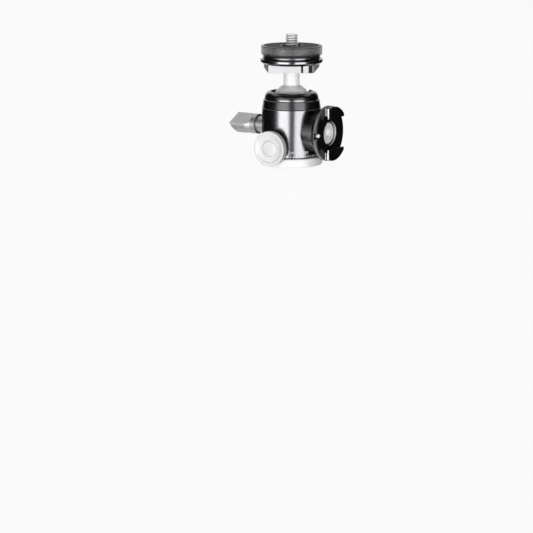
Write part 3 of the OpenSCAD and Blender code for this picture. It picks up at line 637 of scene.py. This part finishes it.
def steps(start: float, end: float, count: int) -> list[float]:
    """Evenly spaced numbers, with both ends."""
    return np.linspace(start, end, count).tolist()


def tri_wave(phase: Points) -> Points:
    """A wave of straight lines that is 0 at each whole number and 1 half way between."""
    return 1 - np.abs(2 * (phase - np.floor(phase)) - 1)


def round_grid(rows: int, columns: int) -> Points:
    """The angles of a grid whose rows go once round."""
    return np.tile(np.linspace(0, FULL_TURN, columns, endpoint=False), (rows, 1))


def turned(radius: Union[Points, float], angle: Points, height: Points) -> Points:
    """Points in metres, from millimetres: r times the angle's cosine, r times its sine, and z."""
    return np.stack([radius * np.cos(angle), radius * np.sin(angle), height], axis=-1) * MM


@dataclass(frozen=True)
class Relief:
    """Grooves of one depth, cut into the turned face of that radius between two heights.

    This one cuts none. Those below say by a formula how deep each point lies.
    """

    radius: float = 0.0
    low: float = 0.0
    high: float = 0.0
    depth: float = 0.0

    def cut(self, angle: Points, height: Points) -> Points:
        """How deep each point lies, from 0 at a top to 1 at a groove's foot."""
        return np.zeros_like(angle)

    def carve(self, angle: Points, radius: Points, height: Points) -> tuple[Points, Points]:
        """Cuts the grooves.

        Args:
            angle: Each point's angle.
            radius: Its distance from the axis.
            height: Its height.

        Returns:
            The radius of each point with the grooves cut, and its "relief" attribute.
        """
        between = (height > self.low + HAIR) & (height < self.high - HAIR)
        inside = between & (np.abs(radius - self.radius) < ON_FACE)
        cut = self.cut(angle, height)
        marks = np.where(inside, 1 - (1 - GROOVE_FOOT) * cut, 0)
        return radius - np.where(inside, self.depth * cut, 0), marks


@dataclass(frozen=True)
class DiamondKnurl(Relief):
    """Two sets of slanted grooves that leave rows of small pyramids with flat tops.

    The height is the smaller of two straight-sided waves, one climbing and one falling with the
    angle, times the steepness and cut off at 1.
    """

    count: int = 100
    rows: int = 3
    steepness: float = 1.25

    def cut(self, angle: Points, height: Points) -> Points:
        """The depth, from both waves.

        Args:
            angle: Each point's angle.
            height: Its height.

        Returns:
            The depth, from 0 to 1.
        """
        pitch = (self.high - self.low) / self.rows
        turn = self.count * angle / FULL_TURN
        climb = (height - self.low) / pitch
        bump = np.minimum(tri_wave(turn + climb), tri_wave(turn - climb))
        return 1 - np.clip(bump * self.steepness, 0, 1)


@dataclass(frozen=True)
class StraightKnurl(Relief):
    """Ribs along the axis. The height is a straight-sided wave of the angle, cut off at 1."""

    count: int = 72
    steepness: float = 1.6

    def cut(self, angle: Points, height: Points) -> Points:
        """The depth, from one wave."""
        return 1 - np.clip(self.steepness * tri_wave(self.count * angle / FULL_TURN), 0, 1)


@dataclass(frozen=True)
class Thread(Relief):
    """A screw thread. The height is a straight-sided wave of the pitches climbed less the turns."""

    pitch: float = 1.27
    steepness: float = 1.35
    root: float = 0.1
    fade_in: float = 0.5
    fade_out: float = 0.4

    def cut(self, angle: Points, height: Points) -> Points:
        """The depth, faded in and out over about half a turn.

        Args:
            angle: Each point's angle.
            height: Its height.

        Returns:
            The depth, from 0 to 1.
        """
        wave = tri_wave(height / self.pitch - angle / FULL_TURN)
        fade = np.clip((height - self.low) / (self.fade_in * self.pitch), 0, 1)
        fade = fade * np.clip((self.high - height) / (self.fade_out * self.pitch), 0, 1)
        return fade * (1 - np.clip(self.steepness * wave - self.root, 0, 1))


def lathe(
    name: str,
    outline: Sequence[tuple[float, float]],
    seat: Seat = Seat.UPRIGHT,
    columns: int = 128,
    relief: Relief = Relief(),
    closed: bool = False,
    smooth: float = 35.0,
) -> bpy.types.Object:
    """Turns an outline round its own Z.

    A point of the surface is (r cos a, r sin a, z), where r and z come from the outline and the
    relief lowers r by the angle a and z.

    Args:
        name: The piece's name.
        outline: Radius and height of each row, in millimetres.
        seat: Where the piece lies.
        columns: Points round the turn.
        relief: The grooves.
        closed: Whether the outline's last point joins its first.
        smooth: Edges bent by less than this many degrees are shaded smooth.

    Returns:
        The new piece.
    """
    angle = round_grid(len(outline), columns)
    radius, height = (np.zeros_like(angle) + np.array([row]).T for row in zip(*outline))
    radius, marks = relief.carve(angle, radius, height)
    faces = grid_faces(len(outline), columns, closed, True)
    return shape(name, seat.put(turned(radius, angle, height)), faces, smooth, marks)


def softened(node: str, name: str, width: float, smooth: float = 30.0) -> bpy.types.Object:
    """Copies a CAD node into a merged mesh with small rounded edges, to stand for it.

    Args:
        node: The CAD node.
        name: The new piece's name.
        width: Width of the rounding, in millimetres.
        smooth: Edges bent by less than this many degrees are left alone.

    Returns:
        The new piece.
    """
    source = bpy.data.objects[node]
    mesh = source.data.copy()
    mesh.materials.clear()
    tidy = bmesh.new()
    tidy.from_mesh(mesh)
    bmesh.ops.remove_doubles(tidy, verts=tidy.verts, dist=CAD_WELD)
    bmesh.ops.dissolve_limit(
        tidy, angle_limit=math.radians(FLAT), verts=tidy.verts, edges=tidy.edges, delimit={"SHARP"}
    )
    tidy.to_mesh(mesh)
    tidy.free()
    made = placed(name, mesh)
    shade(made, smooth)
    rounding = made.modifiers.new("edges", "BEVEL")
    rounding.width = width * MM
    rounding.segments = 2
    rounding.limit_method = "ANGLE"
    rounding.angle_limit = math.radians(smooth)
    even = made.modifiers.new("even_walls", "WEIGHTED_NORMAL")
    even.weight = 100
    even.keep_sharp = True
    return made


# Sub-assemblies


@dataclass
class Assembly:
    """A group of pieces with a way to dress and attach them."""

    frame: dict[str, Any]
    pieces: list[str] = field(default_factory=list)

    def build(self) -> None:
        """Builds and dresses the group. Each kind of group says how."""
        raise NotImplementedError

    def dress_nodes(self, finish: Finish, *nodes: str) -> None:
        """Gives CAD nodes a finish in place of their own materials.

        Args:
            finish: The finish.
            *nodes: The nodes' names.
        """
        for node in nodes:
            piece = self.frame["nodes"][node]
            piece.data.materials.clear()
            piece.data.materials.append(finish.of())
            self.pieces.append(node)

    def add(
        self, piece: bpy.types.Object, finish: Finish, body: str, slot: str, *replaced: str
    ) -> bpy.types.Object:
        """Dresses a new piece and attaches it.

        Args:
            piece: The piece.
            finish: Its finish.
            body: The CAD body that it moves with.
            slot: Not used.
            *replaced: The CAD nodes that it stands for.

        Returns:
            The same piece.
        """
        piece.data.materials.append(finish.of())
        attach(piece, body)
        if replaced:
            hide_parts(*replaced)
        self.pieces.append(piece.name)
        return piece


@dataclass
class PanBase(Assembly):
    """The bright ring on the tripod and the bearing inside it."""

    def build(self) -> None:
        """Dresses the ring, its adapter and the bearing's pieces."""
        self.dress_nodes(Finish.RING, "base_plate", "pan_drum")
        self.dress_nodes(Finish.STEEL, "thread_adapter")
        self.dress_nodes(Finish.OXIDE, "base_screws", "pan_collar")
        self.dress_nodes(Finish.ACETAL, "pan_washer_lower", "pan_washer_upper")


@dataclass
class Housing(Assembly):
    """The black turned body with its degree scale."""

    rounding: float = 0.18
    radius: float = 15.2625
    knob_boss_r: float = 7.2
    shoe_boss_r: float = 10.5
    mark_lift: float = 0.02
    mark_wall: float = 0.05
    mark_low: float = 4.95
    tick_short: float = 6.1
    tick_long: float = 6.5
    tick_width: float = 0.3
    figure_low: float = 7.0
    type_size: float = 1.8225
    tick_step: int = 5
    figure_step: int = 30
    first_angle: float = -90.0

    def build(self) -> None:
        """Builds the softened body and the scale, and dresses the pieces inside."""
        body = softened("housing", "housing_body", self.rounding)
        self.add(body, Finish.HOUSING, "pan_housing", "black_anodised", "housing")
        self.dress_nodes(Finish.OXIDE, "chamber_floor")
        self.dress_nodes(Finish.ACETAL, "upper_seat")
        self.dress_nodes(Finish.STEEL, "piston_springs")
        self.add(self.ticks(), Finish.MARKS, "pan_housing", "plain_aluminium")
        self.add(self.figures(), Finish.MARKS, "pan_housing", "plain_aluminium")

    def hidden(self, angle: float, high: float) -> bool:
        """Whether a mark at that angle and height would lie on a boss.

        Args:
            angle: The mark's angle, in degrees.
            high: Its top, in millimetres.

        Returns:
            True where the knob's or the shoe's boss is in its way.
        """
        bosses = ((-90.0, KNOB_AXIS[2], self.knob_boss_r), (0.0, SHOE_AXIS[2], self.shoe_boss_r))
        for centre, axis_z, boss in bosses:
            across = self.radius * math.sin(math.radians(angle - centre))
            facing = math.cos(math.radians(angle - centre)) > 0
            if facing and math.hypot(across, high - axis_z / MM) < boss:
                return True
        return False

    def wrapped(self, flat: Points) -> Points:
        """Bends flat points, in millimetres along the scale and up it, onto the housing's side."""
        return turned(self.radius + self.mark_lift, flat[..., 0] / self.radius, flat[..., 1])

    def ticks(self) -> bpy.types.Object:
        """The scale's short and long lines, each a strip of the housing's side.

        Returns:
            The lines, as one piece.
        """
        corners = []
        for degrees in range(0, 360, self.tick_step):
            high = self.tick_long if degrees % self.figure_step == 0 else self.tick_short
            if self.hidden(degrees + self.first_angle, high):
                continue
            middle = math.radians(degrees + self.first_angle) * self.radius
            left, right = middle - self.tick_width / 2, middle + self.tick_width / 2
            corners.append([(left, self.mark_low), (right, self.mark_low), (right, high), (left, high)])
        faces = np.arange(len(corners) * 4).reshape(-1, 4)
        return self.thickened(shape("scale_lines", self.wrapped(np.array(corners)), faces))

    def figures(self) -> bpy.types.Object:
        """The scale's plain numbers, filled curves made into a mesh and bent onto the side.

        Returns:
            The numbers, as one piece.
        """
        points, faces, count = [], [], 0
        for degrees in range(0, 360, self.figure_step):
            if self.hidden(degrees + self.first_angle, self.figure_low):
                continue
            flat, corners = self.written(str((360 - degrees) % 360))
            flat[:, 0] += math.radians(degrees + self.first_angle) * self.radius
            points.append(flat)
            faces += [[corner + count for corner in face] for face in corners]
            count += len(flat)
        mesh = bpy.data.meshes.new("scale_figures")
        mesh.from_pydata(self.wrapped(np.concatenate(points)).tolist(), [], faces)
        return self.thickened(placed("scale_figures", mesh))

    def written(self, text: str) -> tuple[Points, list[list[int]]]:
        """One number as a flat mesh.

        Args:
            text: The number.

        Returns:
            Its points in millimetres, centred across, and its faces.
        """
        curve = bpy.data.curves.new("figure", "FONT")
        curve.body = text
        curve.align_x = "CENTER"
        curve.size = self.type_size
        curve.resolution_u = 3
        holder = bpy.data.objects.new("figure", curve)
        mesh = holder.to_mesh()
        flat = np.zeros(len(mesh.vertices) * 3)
        mesh.vertices.foreach_get("co", flat)
        corners = [list(face.vertices) for face in mesh.polygons]
        holder.to_mesh_clear()
        bpy.data.objects.remove(holder)
        bpy.data.curves.remove(curve)
        flat = flat.reshape(-1, 3)[:, :2]
        flat[:, 1] += self.figure_low
        return flat, corners

    def thickened(self, piece: bpy.types.Object) -> bpy.types.Object:
        """Gives the thin marks a little thickness, from just inside the side to just outside it.

        Args:
            piece: The flat marks.

        Returns:
            The same piece.
        """
        wall = piece.modifiers.new("thickness", "SOLIDIFY")
        wall.thickness = self.mark_wall * MM
        wall.offset = 0.0
        return piece


@dataclass
class Shoe(Assembly):
    """The side shoe with its knurled edge, screw and key pin."""

    rounding: float = 0.3
    edge_r: float = 13.85
    edge_low: float = 20.9
    edge_high: float = 22.7
    edge_proud: float = 0.2
    edge_sunk: float = 0.1
    knurl_depth: float = 0.28
    knurl_count: int = 80
    knurl_rows: int = 2
    knurl_steepness: float = 1.1
    band_rows: int = 13
    band_columns: int = 800
    notch_low: float = 21.4
    notch_half: float = 1.75
    well_r: float = 6.2
    well_low: float = 19.5
    well_high: float = 22.85
    well_half_wall: float = 0.03
    well_columns: int = 96

    def build(self) -> None:
        """Builds the disc, the knurled band and the bright well, and dresses the small parts."""
        disc = softened("shoe_disc", "shoe_body", self.rounding)
        self.add(disc, Finish.SHOE, "pan_housing", "black_anodised", "shoe_disc")
        self.add(self.band(), Finish.EDGE, "pan_housing", "grey_anodised")
        self.add(self.well(), Finish.MACHINED, "pan_housing", "plain_aluminium")
        self.dress_nodes(Finish.SCREW_STEEL, "shoe_screw", "shoe_key_pin")

    def band(self) -> bpy.types.Object:
        """The knurled edge: a thin band round the disc, lower where the key pin's notch crosses it.

        Each row's height is a share of the way from the band's foot to its top at that angle. The
        first and the last row are drawn in to the disc, where they close the band.

        Returns:
            The band.
        """
        knurl = DiamondKnurl(
            self.edge_r + self.edge_proud, self.edge_low, self.edge_high, self.knurl_depth,
            self.knurl_count, self.knurl_rows, self.knurl_steepness,
        )
        angle = round_grid(self.band_rows + 2, self.band_columns)
        across = np.abs(self.edge_r * np.cos(angle))
        notch = (across < self.notch_half) & (np.sin(angle) < 0)
        top = np.where(notch, self.notch_low, self.edge_high)
        share = np.array([0, *steps(0, 1, self.band_rows), 1])[:, None]
        height = self.edge_low + (top - self.edge_low) * share
        radius, marks = knurl.carve(angle, np.full_like(angle, knurl.radius), height)
        radius[[0, -1]] = self.edge_r - self.edge_sunk
        marks[[0, -1]] = 0
        faces = grid_faces(len(radius), self.band_columns, True, True)
        points = Seat.SHOE.put(turned(radius, angle, height))
        return shape("shoe_edge", points, faces, smooth=20, relief=marks)

    def well(self) -> bpy.types.Object:
        """The machined wall round the screw, a thin tube in the disc's well.

        Returns:
            The tube.
        """
        inside, outside = self.well_r - self.well_half_wall, self.well_r + self.well_half_wall
        outline = [
            (outside, self.well_low), (inside, self.well_low),
            (inside, self.well_high), (outside, self.well_high),
        ]
        return lathe("shoe_well", outline, Seat.SHOE, self.well_columns, closed=True)


@dataclass
class BallLock(Assembly):
    """The pieces that press the ball, and the bar handle."""

    rounding: float = 0.45

    def build(self) -> None:
        """Dresses the hidden pieces and softens the handle."""
        self.dress_nodes(Finish.ACETAL, "piston", "ball_liner", "lock_washer")
        self.dress_nodes(Finish.BRASS, "wedge")
        self.dress_nodes(Finish.STEEL, "lock_screw")
        bar = softened("lock_handle", "lock_bar", self.rounding)
        self.add(bar, Finish.HANDLE, "lock_handle_body", "plain_aluminium", "lock_handle")


@dataclass
class PanKnob(Assembly):
    """The bright knob at the front, its cap and its screw."""

    knob_r: float = 8.8
    back: float = 19.4125
    back_edge: float = 0.36
    face: float = 22.4125
    edge: float = 0.28
    edge_middle: tuple[float, float] = (0.08, 0.1)
    rib_depth: float = 0.28
    rib_count: int = 72
    rib_feet: tuple[float, ...] = (0.05, 0.1, 0.3)
    rib_heads: tuple[float, ...] = (0.2, 0.03, 0.0)
    knob_columns: int = 576
    rim_w: float = 1.5
    rim_round: tuple[float, float] = (0.15, 0.06)
    dish: float = 0.5
    dish_slope: tuple[float, float] = (0.35, 0.55)
    bore_r: float = 2.5
    head_r: float = 3.5
    head_seat: float = 20.2125
    cap_r: float = 4.0
    cap_seat: float = 21.1625
    cap_gap: float = 0.05
    cap_mouth: float = 0.1
    cap_proud: float = 0.25
    crown_r: float = 3.6
    crown_end: float = 3.5
    crown_rows: int = 10
    crown_drop: float = 0.06
    cap_edge: tuple[tuple[float, float], ...] = ((0.3, 0.09), (0.12, 0.18), (0.0, 0.36))

    def build(self) -> None:
        """Builds the ribbed knob and the cap, and dresses the screw, washer and pad."""
        self.add(self.knob(), Finish.KNOB, "pan_knob_body", "silver_anodised", "pan_knob")
        self.add(self.cap(), Finish.KNOB, "pan_knob_body", "silver_anodised", "pan_knob_cap")
        self.dress_nodes(Finish.STEEL, "pan_screw", "pan_spring_washer")
        self.dress_nodes(Finish.BRASS, "pan_pad")

    def knob(self) -> bpy.types.Object:
        """The knob: a ribbed rim, a raised ring round the face and a shallow dish.

        Returns:
            The knob.
        """
        floor, rim = self.face - self.dish, self.knob_r - self.rim_w
        low, high = self.back, self.face - self.edge
        feet = [low + step for step in self.rib_feet]
        heads = [high - step for step in self.rib_heads]
        side = [(self.knob_r, z) for z in (*feet[:-1], *steps(feet[-1], heads[0], 4), *heads[1:])]
        (out, down), (soft, drop), (slope, foot) = self.edge_middle, self.rim_round, self.dish_slope
        seat_r = self.cap_r + self.cap_gap
        outline = [
            (self.bore_r, self.back), (self.knob_r - self.back_edge, self.back), *side,
            (self.knob_r - out, self.face - down), (self.knob_r - self.edge, self.face),
            (rim + soft, self.face), (rim, self.face - drop),
            (rim - slope, floor + drop), (rim - foot, floor),
            (seat_r + self.cap_mouth, floor), (seat_r, floor - self.cap_mouth), (seat_r, self.cap_seat),
            (self.head_r, self.cap_seat), (self.head_r, self.head_seat), (self.bore_r, self.head_seat),
        ]
        ribs = StraightKnurl(self.knob_r, low, high, self.rib_depth, self.rib_count)
        return lathe("knob", outline, Seat.KNOB, self.knob_columns, ribs, closed=True, smooth=25)

    def cap(self) -> bpy.types.Object:
        """The cap: a low crown, which drops by the square of the radius, with a rounded edge.

        Returns:
            The cap.
        """
        top = self.face - self.dish + self.cap_proud
        radii = steps(0, self.crown_end, self.crown_rows)
        crown = [(r, top - self.crown_drop * (r / self.crown_r) ** 2) for r in radii]
        edge = [(self.cap_r - inwards, top - drop) for inwards, drop in self.cap_edge]
        outline = [*crown, *edge, (self.cap_r, self.cap_seat), (0, self.cap_seat)]
        return lathe("knob_cap", outline, Seat.KNOB)


@dataclass
class BallAndPlatform(Assembly):
    """The ball, its stem, the platform and the camera stud."""

    rounding: float = 0.14
    shank_r: float = 1.95
    collar_out: float = 1.4
    collar_high: float = 0.9
    neck_r: float = 2.975
    disc_top: float = 60.796
    neck_end: float = 1.4
    stud_r: float = 3.175
    thread_start: float = 1.2
    thread_end: float = 0.1
    thread_depth: float = 0.62
    thread_rows: int = 66
    thread_columns: int = 96
    tip: tuple[tuple[float, float], ...] = ((0.3, 0.3), (0.6, 0.04), (0.8, 0.0))
    tip_high: float = 0.6

    def build(self) -> None:
        """Builds the softened platform and the threaded stud, and dresses the ball and stem."""
        self.dress_nodes(Finish.BALL, "ball")
        self.dress_nodes(Finish.STEM, "stem")
        platform = softened("platform", "platform_body", self.rounding)
        self.add(platform, Finish.PLATFORM, "ball_body", "black_anodised", "platform")
        self.add(self.stud(), Finish.STUD, "ball_body", "stainless_steel", "camera_stud")

    def stud(self) -> bpy.types.Object:
        """The stud: a plain shank, collar and neck below, and a real thread up from the disc's top.

        Returns:
            The stud.
        """
        low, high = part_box("camera_stud")
        foot, top = low.z / MM, high.z / MM
        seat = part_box("platform")[1].z / MM
        collar_r, collar_top = self.stud_r + self.collar_out, seat + self.collar_high
        start = self.disc_top - self.thread_start
        turns = [(self.stud_r, z) for z in steps(start, top - self.tip_high, self.thread_rows)]
        tip = [(self.stud_r - inwards, top - drop) for inwards, drop in self.tip]
        outline = [
            (0, foot), (self.shank_r, foot), (self.shank_r, seat), (collar_r, seat),
            (collar_r, collar_top), (self.neck_r, collar_top),
            (self.neck_r, self.disc_top - self.neck_end), *turns, *tip, (0, top),
        ]
        thread = Thread(self.stud_r, start, top - self.thread_end, self.thread_depth)
        return lathe("camera_thread", outline, Seat.UPRIGHT, self.thread_columns, thread, smooth=40)


@dataclass
class LockDisc(Assembly):
    """The knurled disc under the camera, with its pad."""

    disc_r: float = 15.6
    foot_r: float = 14.65
    foot_edge: float = 0.12
    low: float = 54.596
    slope: float = 55.496
    slope_out: float = 0.05
    rim_low: float = 56.696
    rim_edge: float = 0.3
    rim_edge_middle: tuple[float, float] = (0.08, 0.1)
    top: float = 60.796
    knurl_foot: float = 0.05
    knurl_top: float = 0.35
    knurl_depth: float = 0.42
    knurl_count: int = 84
    knurl_rows: int = 4
    rim_rows: int = 33
    columns: int = 960
    pocket_r: float = 4.825
    pocket_top: float = 55.746
    bore_r: float = 3.055
    well_r: float = 5.175
    well_depth: float = 1.4
    well_edge: float = 0.1
    pad_in_r: float = 5.975
    pad_out_r: float = 14.1
    pad_gap: float = 0.05
    pad_z: float = 60.196

    def build(self) -> None:
        """Builds the knurled disc and dresses the ribbed pad."""
        self.add(self.disc(), Finish.DISC, "lock_disc_body", "black_anodised", "lock_disc")
        self.dress_nodes(Finish.RUBBER, "lock_disc_pad")

    def disc(self) -> bpy.types.Object:
        """The disc: a closed outline with a diamond knurl on its rim.

        Returns:
            The disc.
        """
        low, high = self.rim_low + self.knurl_foot, self.top - self.knurl_top
        knurl = DiamondKnurl(self.disc_r, low, high, self.knurl_depth, self.knurl_count, self.knurl_rows)
        rim = [(self.disc_r, z) for z in steps(high, low, self.rim_rows)]
        floor = self.top - self.well_depth
        pad_in, pad_out = self.pad_in_r - self.pad_gap, self.pad_out_r + self.pad_gap
        out, down = self.rim_edge_middle
        outline = [
            (self.pocket_r, self.low), (self.pocket_r, self.pocket_top), (self.bore_r, self.pocket_top),
            (self.bore_r, floor), (self.well_r, floor), (self.well_r, self.top - self.well_edge),
            (self.well_r + self.well_edge, self.top), (pad_in, self.top), (pad_in, self.pad_z),
            (pad_out, self.pad_z), (pad_out, self.top), (self.disc_r - self.rim_edge, self.top),
            (self.disc_r - out, self.top - down), *rim,
            (self.disc_r - self.rim_edge, self.rim_low - self.rim_edge),
            (self.foot_r + self.slope_out, self.slope + self.foot_edge), (self.foot_r, self.slope),
            (self.foot_r, self.low + self.foot_edge), (self.foot_r - self.foot_edge, self.low),
        ]
        return lathe("knurled_disc", outline, Seat.UPRIGHT, self.columns, knurl, closed=True, smooth=25)


# Studio


@dataclass(frozen=True)
class Softbox:
    """A rectangular lamp that the camera doesn't see."""

    name: str
    width: float
    height: float
    power: float

    def made(self) -> bpy.types.Object:
        """The lamp at the origin, shining down.

        Returns:
            The lamp's object.
        """
        lamp = bpy.data.lights.new(self.name, "AREA")
        lamp.shape = "RECTANGLE"
        lamp.size, lamp.size_y = self.width, self.height
        lamp.energy = self.power
        holder = placed(self.name, lamp)
        holder.visible_camera = False
        return holder


@dataclass(frozen=True)
class Screen:
    """A dark upright screen round the head, from one turn from the camera to another."""

    name: str
    start: float
    end: float
    away: float


@dataclass
class Studio:
    """The camera, the floor, the lamps and the dark screens. Turns are in degrees from the camera."""

    aim: Vector = field(default_factory=lambda: Vector((0, 0, 0.035)))
    camera_turn: float = 31.0
    camera_away: float = 0.92
    camera_high: float = 0.1557
    pitch: float = 12.9
    yaw: float = 0.8
    focal_px: float = 1800.0
    frame_px: float = 533.0
    sensor: float = 0.036
    nearest: float = 0.05
    left: Softbox = Softbox("softbox_left", 0.73, 0.36, 6.2)
    left_turn: float = -30.0
    right: Softbox = Softbox("softbox_right", 0.69, 0.36, 5.1)
    right_turn: float = 32.0
    side_away: float = 0.95
    side_high: float = -0.09
    top: Softbox = Softbox("softbox_top", 0.35, 0.35, 1.7)
    top_high: float = 0.95
    screens: tuple[Screen, ...] = (
        Screen("screen_front", -10, 13, 1.3),
        Screen("screen_left", -150, -62, 0.8),
        Screen("screen_right", 55, 155, 0.8),
    )
    screen_half: float = 0.7
    screen_columns: int = 16
    screen_grey: Colour = (0.004, 0.004, 0.004)
    ceiling_high: float = 1.1
    ceiling_half: float = 1.2
    ceiling_ends: tuple[float, float] = (-0.05, 1.9)
    floor_reach: float = 6.0
    floor_grey: Colour = (0.82, 0.82, 0.82)
    floor_glow: float = 0.92
    world_level: float = 0.42

    def build(self) -> None:
        """Sets up everything round the head."""
        self.camera()
        self.floor()
        self.world()
        self.lamps()
        for screen in self.screens:
            self.upright(screen)
        self.ceiling()
        bpy.context.scene.view_settings.view_transform = "Standard"

    def around(self, turn: float, away: float, high: float) -> Vector:
        """A place so many degrees round from the camera, at that distance and height."""
        angle = math.radians(self.camera_turn + turn)
        return Vector((away * math.sin(angle), -away * math.cos(angle), high))

    def camera(self) -> None:
        """Puts the camera where the photograph was taken from."""
        data = bpy.data.cameras.new("camera")
        data.sensor_width = self.sensor / MM
        data.lens = data.sensor_width * self.focal_px / self.frame_px
        data.clip_start = self.nearest
        holder = placed("camera", data)
        holder.location = self.around(0, self.camera_away, self.camera_high)
        turn = math.radians(self.camera_turn + self.yaw)
        holder.rotation_euler = (math.radians(90 - self.pitch), 0, turn)
        bpy.context.scene.camera = holder

    def lamps(self) -> None:
        """Two wide lamps that face the head from the camera's two sides, and one straight above."""
        for softbox, turn in ((self.left, self.left_turn), (self.right, self.right_turn)):
            holder = softbox.made()
            holder.location = self.around(turn, self.side_away, self.side_high)
            holder.rotation_euler = (self.aim - holder.location).to_track_quat("-Z", "Y").to_euler()
        self.top.made().location = (0, 0, self.top_high)

    def upright(self, screen: Screen) -> None:
        """Builds an upright screen, an arc carried from below the floor to as far above it.

        Args:
            screen: Where it stands.
        """
        turns = np.linspace(screen.start, screen.end, self.screen_columns)
        line = np.array([self.around(turn, screen.away, 0) for turn in turns])
        up = np.array([0, 0, self.screen_half])
        faces = grid_faces(2, self.screen_columns, False, False)
        self.dark(screen.name, np.stack([line - up, line + up]), faces)

    def ceiling(self) -> None:
        """A dark level screen above the head, from behind it to the camera's side."""
        ahead, side = self.around(0, 1, 0), self.around(90, 1, 0)
        (back, front), half = self.ceiling_ends, self.ceiling_half
        ends = [(back, -half), (front, -half), (front, half), (back, half)]
        corners = [ahead * reach + side * across for reach, across in ends]
        up = np.array([0, 0, self.ceiling_high])
        self.dark("screen_top", np.array([tuple(corner) for corner in corners]) + up, [[0, 1, 2, 3]])

    def dark(self, name: str, corners: Points, faces: Sequence[Sequence[int]]) -> None:
        """Makes a screen that only reflections see.

        Args:
            name: The screen's name.
            corners: Its points, in metres.
            faces: The corners of each face.
        """
        piece = shape(name, corners, faces)
        piece.data.materials.append(Recipe(name).dress(base_color=self.screen_grey, roughness=1.0))
        piece.visible_camera = piece.visible_diffuse = piece.visible_shadow = False

    def floor(self) -> None:
        """A wide pale floor that keeps the head's shadow."""
        reach = self.floor_reach
        corners = [(-reach, -reach, 0), (reach, -reach, 0), (reach, reach, 0), (-reach, reach, 0)]
        piece = shape("floor", np.array(corners), [[0, 1, 2, 3]])
        material = bpy.data.materials.new("floor_white")
        nodes = Nodes(material)
        matt = nodes.node("ShaderNodeBsdfDiffuse", {}, {"Color": (*self.floor_grey, 1)})
        glow = nodes.node("ShaderNodeEmission", {}, {"Strength": 1.0})
        share = nodes.seen() * self.floor_glow
        surface = nodes.node("ShaderNodeMixShader", {}, {0: share, 1: matt, 2: glow})
        nodes.end("ShaderNodeOutputMaterial", surface)
        piece.data.materials.append(material)
        piece.visible_glossy = piece.visible_shadow = False

    def world(self) -> None:
        """White behind the head, and a plain soft level of light from all round."""
        world = bpy.data.worlds.new("studio")
        bpy.context.scene.world = world
        nodes = Nodes(world)
        light, white = (
            nodes.node("ShaderNodeBackground", {}, {"Color": (1, 1, 1, 1), "Strength": level})
            for level in (self.world_level, 1.0)
        )
        surface = nodes.node("ShaderNodeMixShader", {}, {0: nodes.seen(), 1: light, 2: white})
        nodes.end("ShaderNodeOutputWorld", surface)


def main() -> None:
    """Loads the frame, builds the head and the studio, and reports each piece."""
    logging.basicConfig(level=logging.INFO, format="%(name)s: %(message)s")
    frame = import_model()
    for kind in (PanBase, Housing, Shoe, BallLock, PanKnob, BallAndPlatform, LockDisc):
        group = kind(frame)
        group.build()
        LOG.info("%s: %s", kind.__name__, ", ".join(group.pieces))
    Studio().build()


if __name__ == "__main__":
    main()
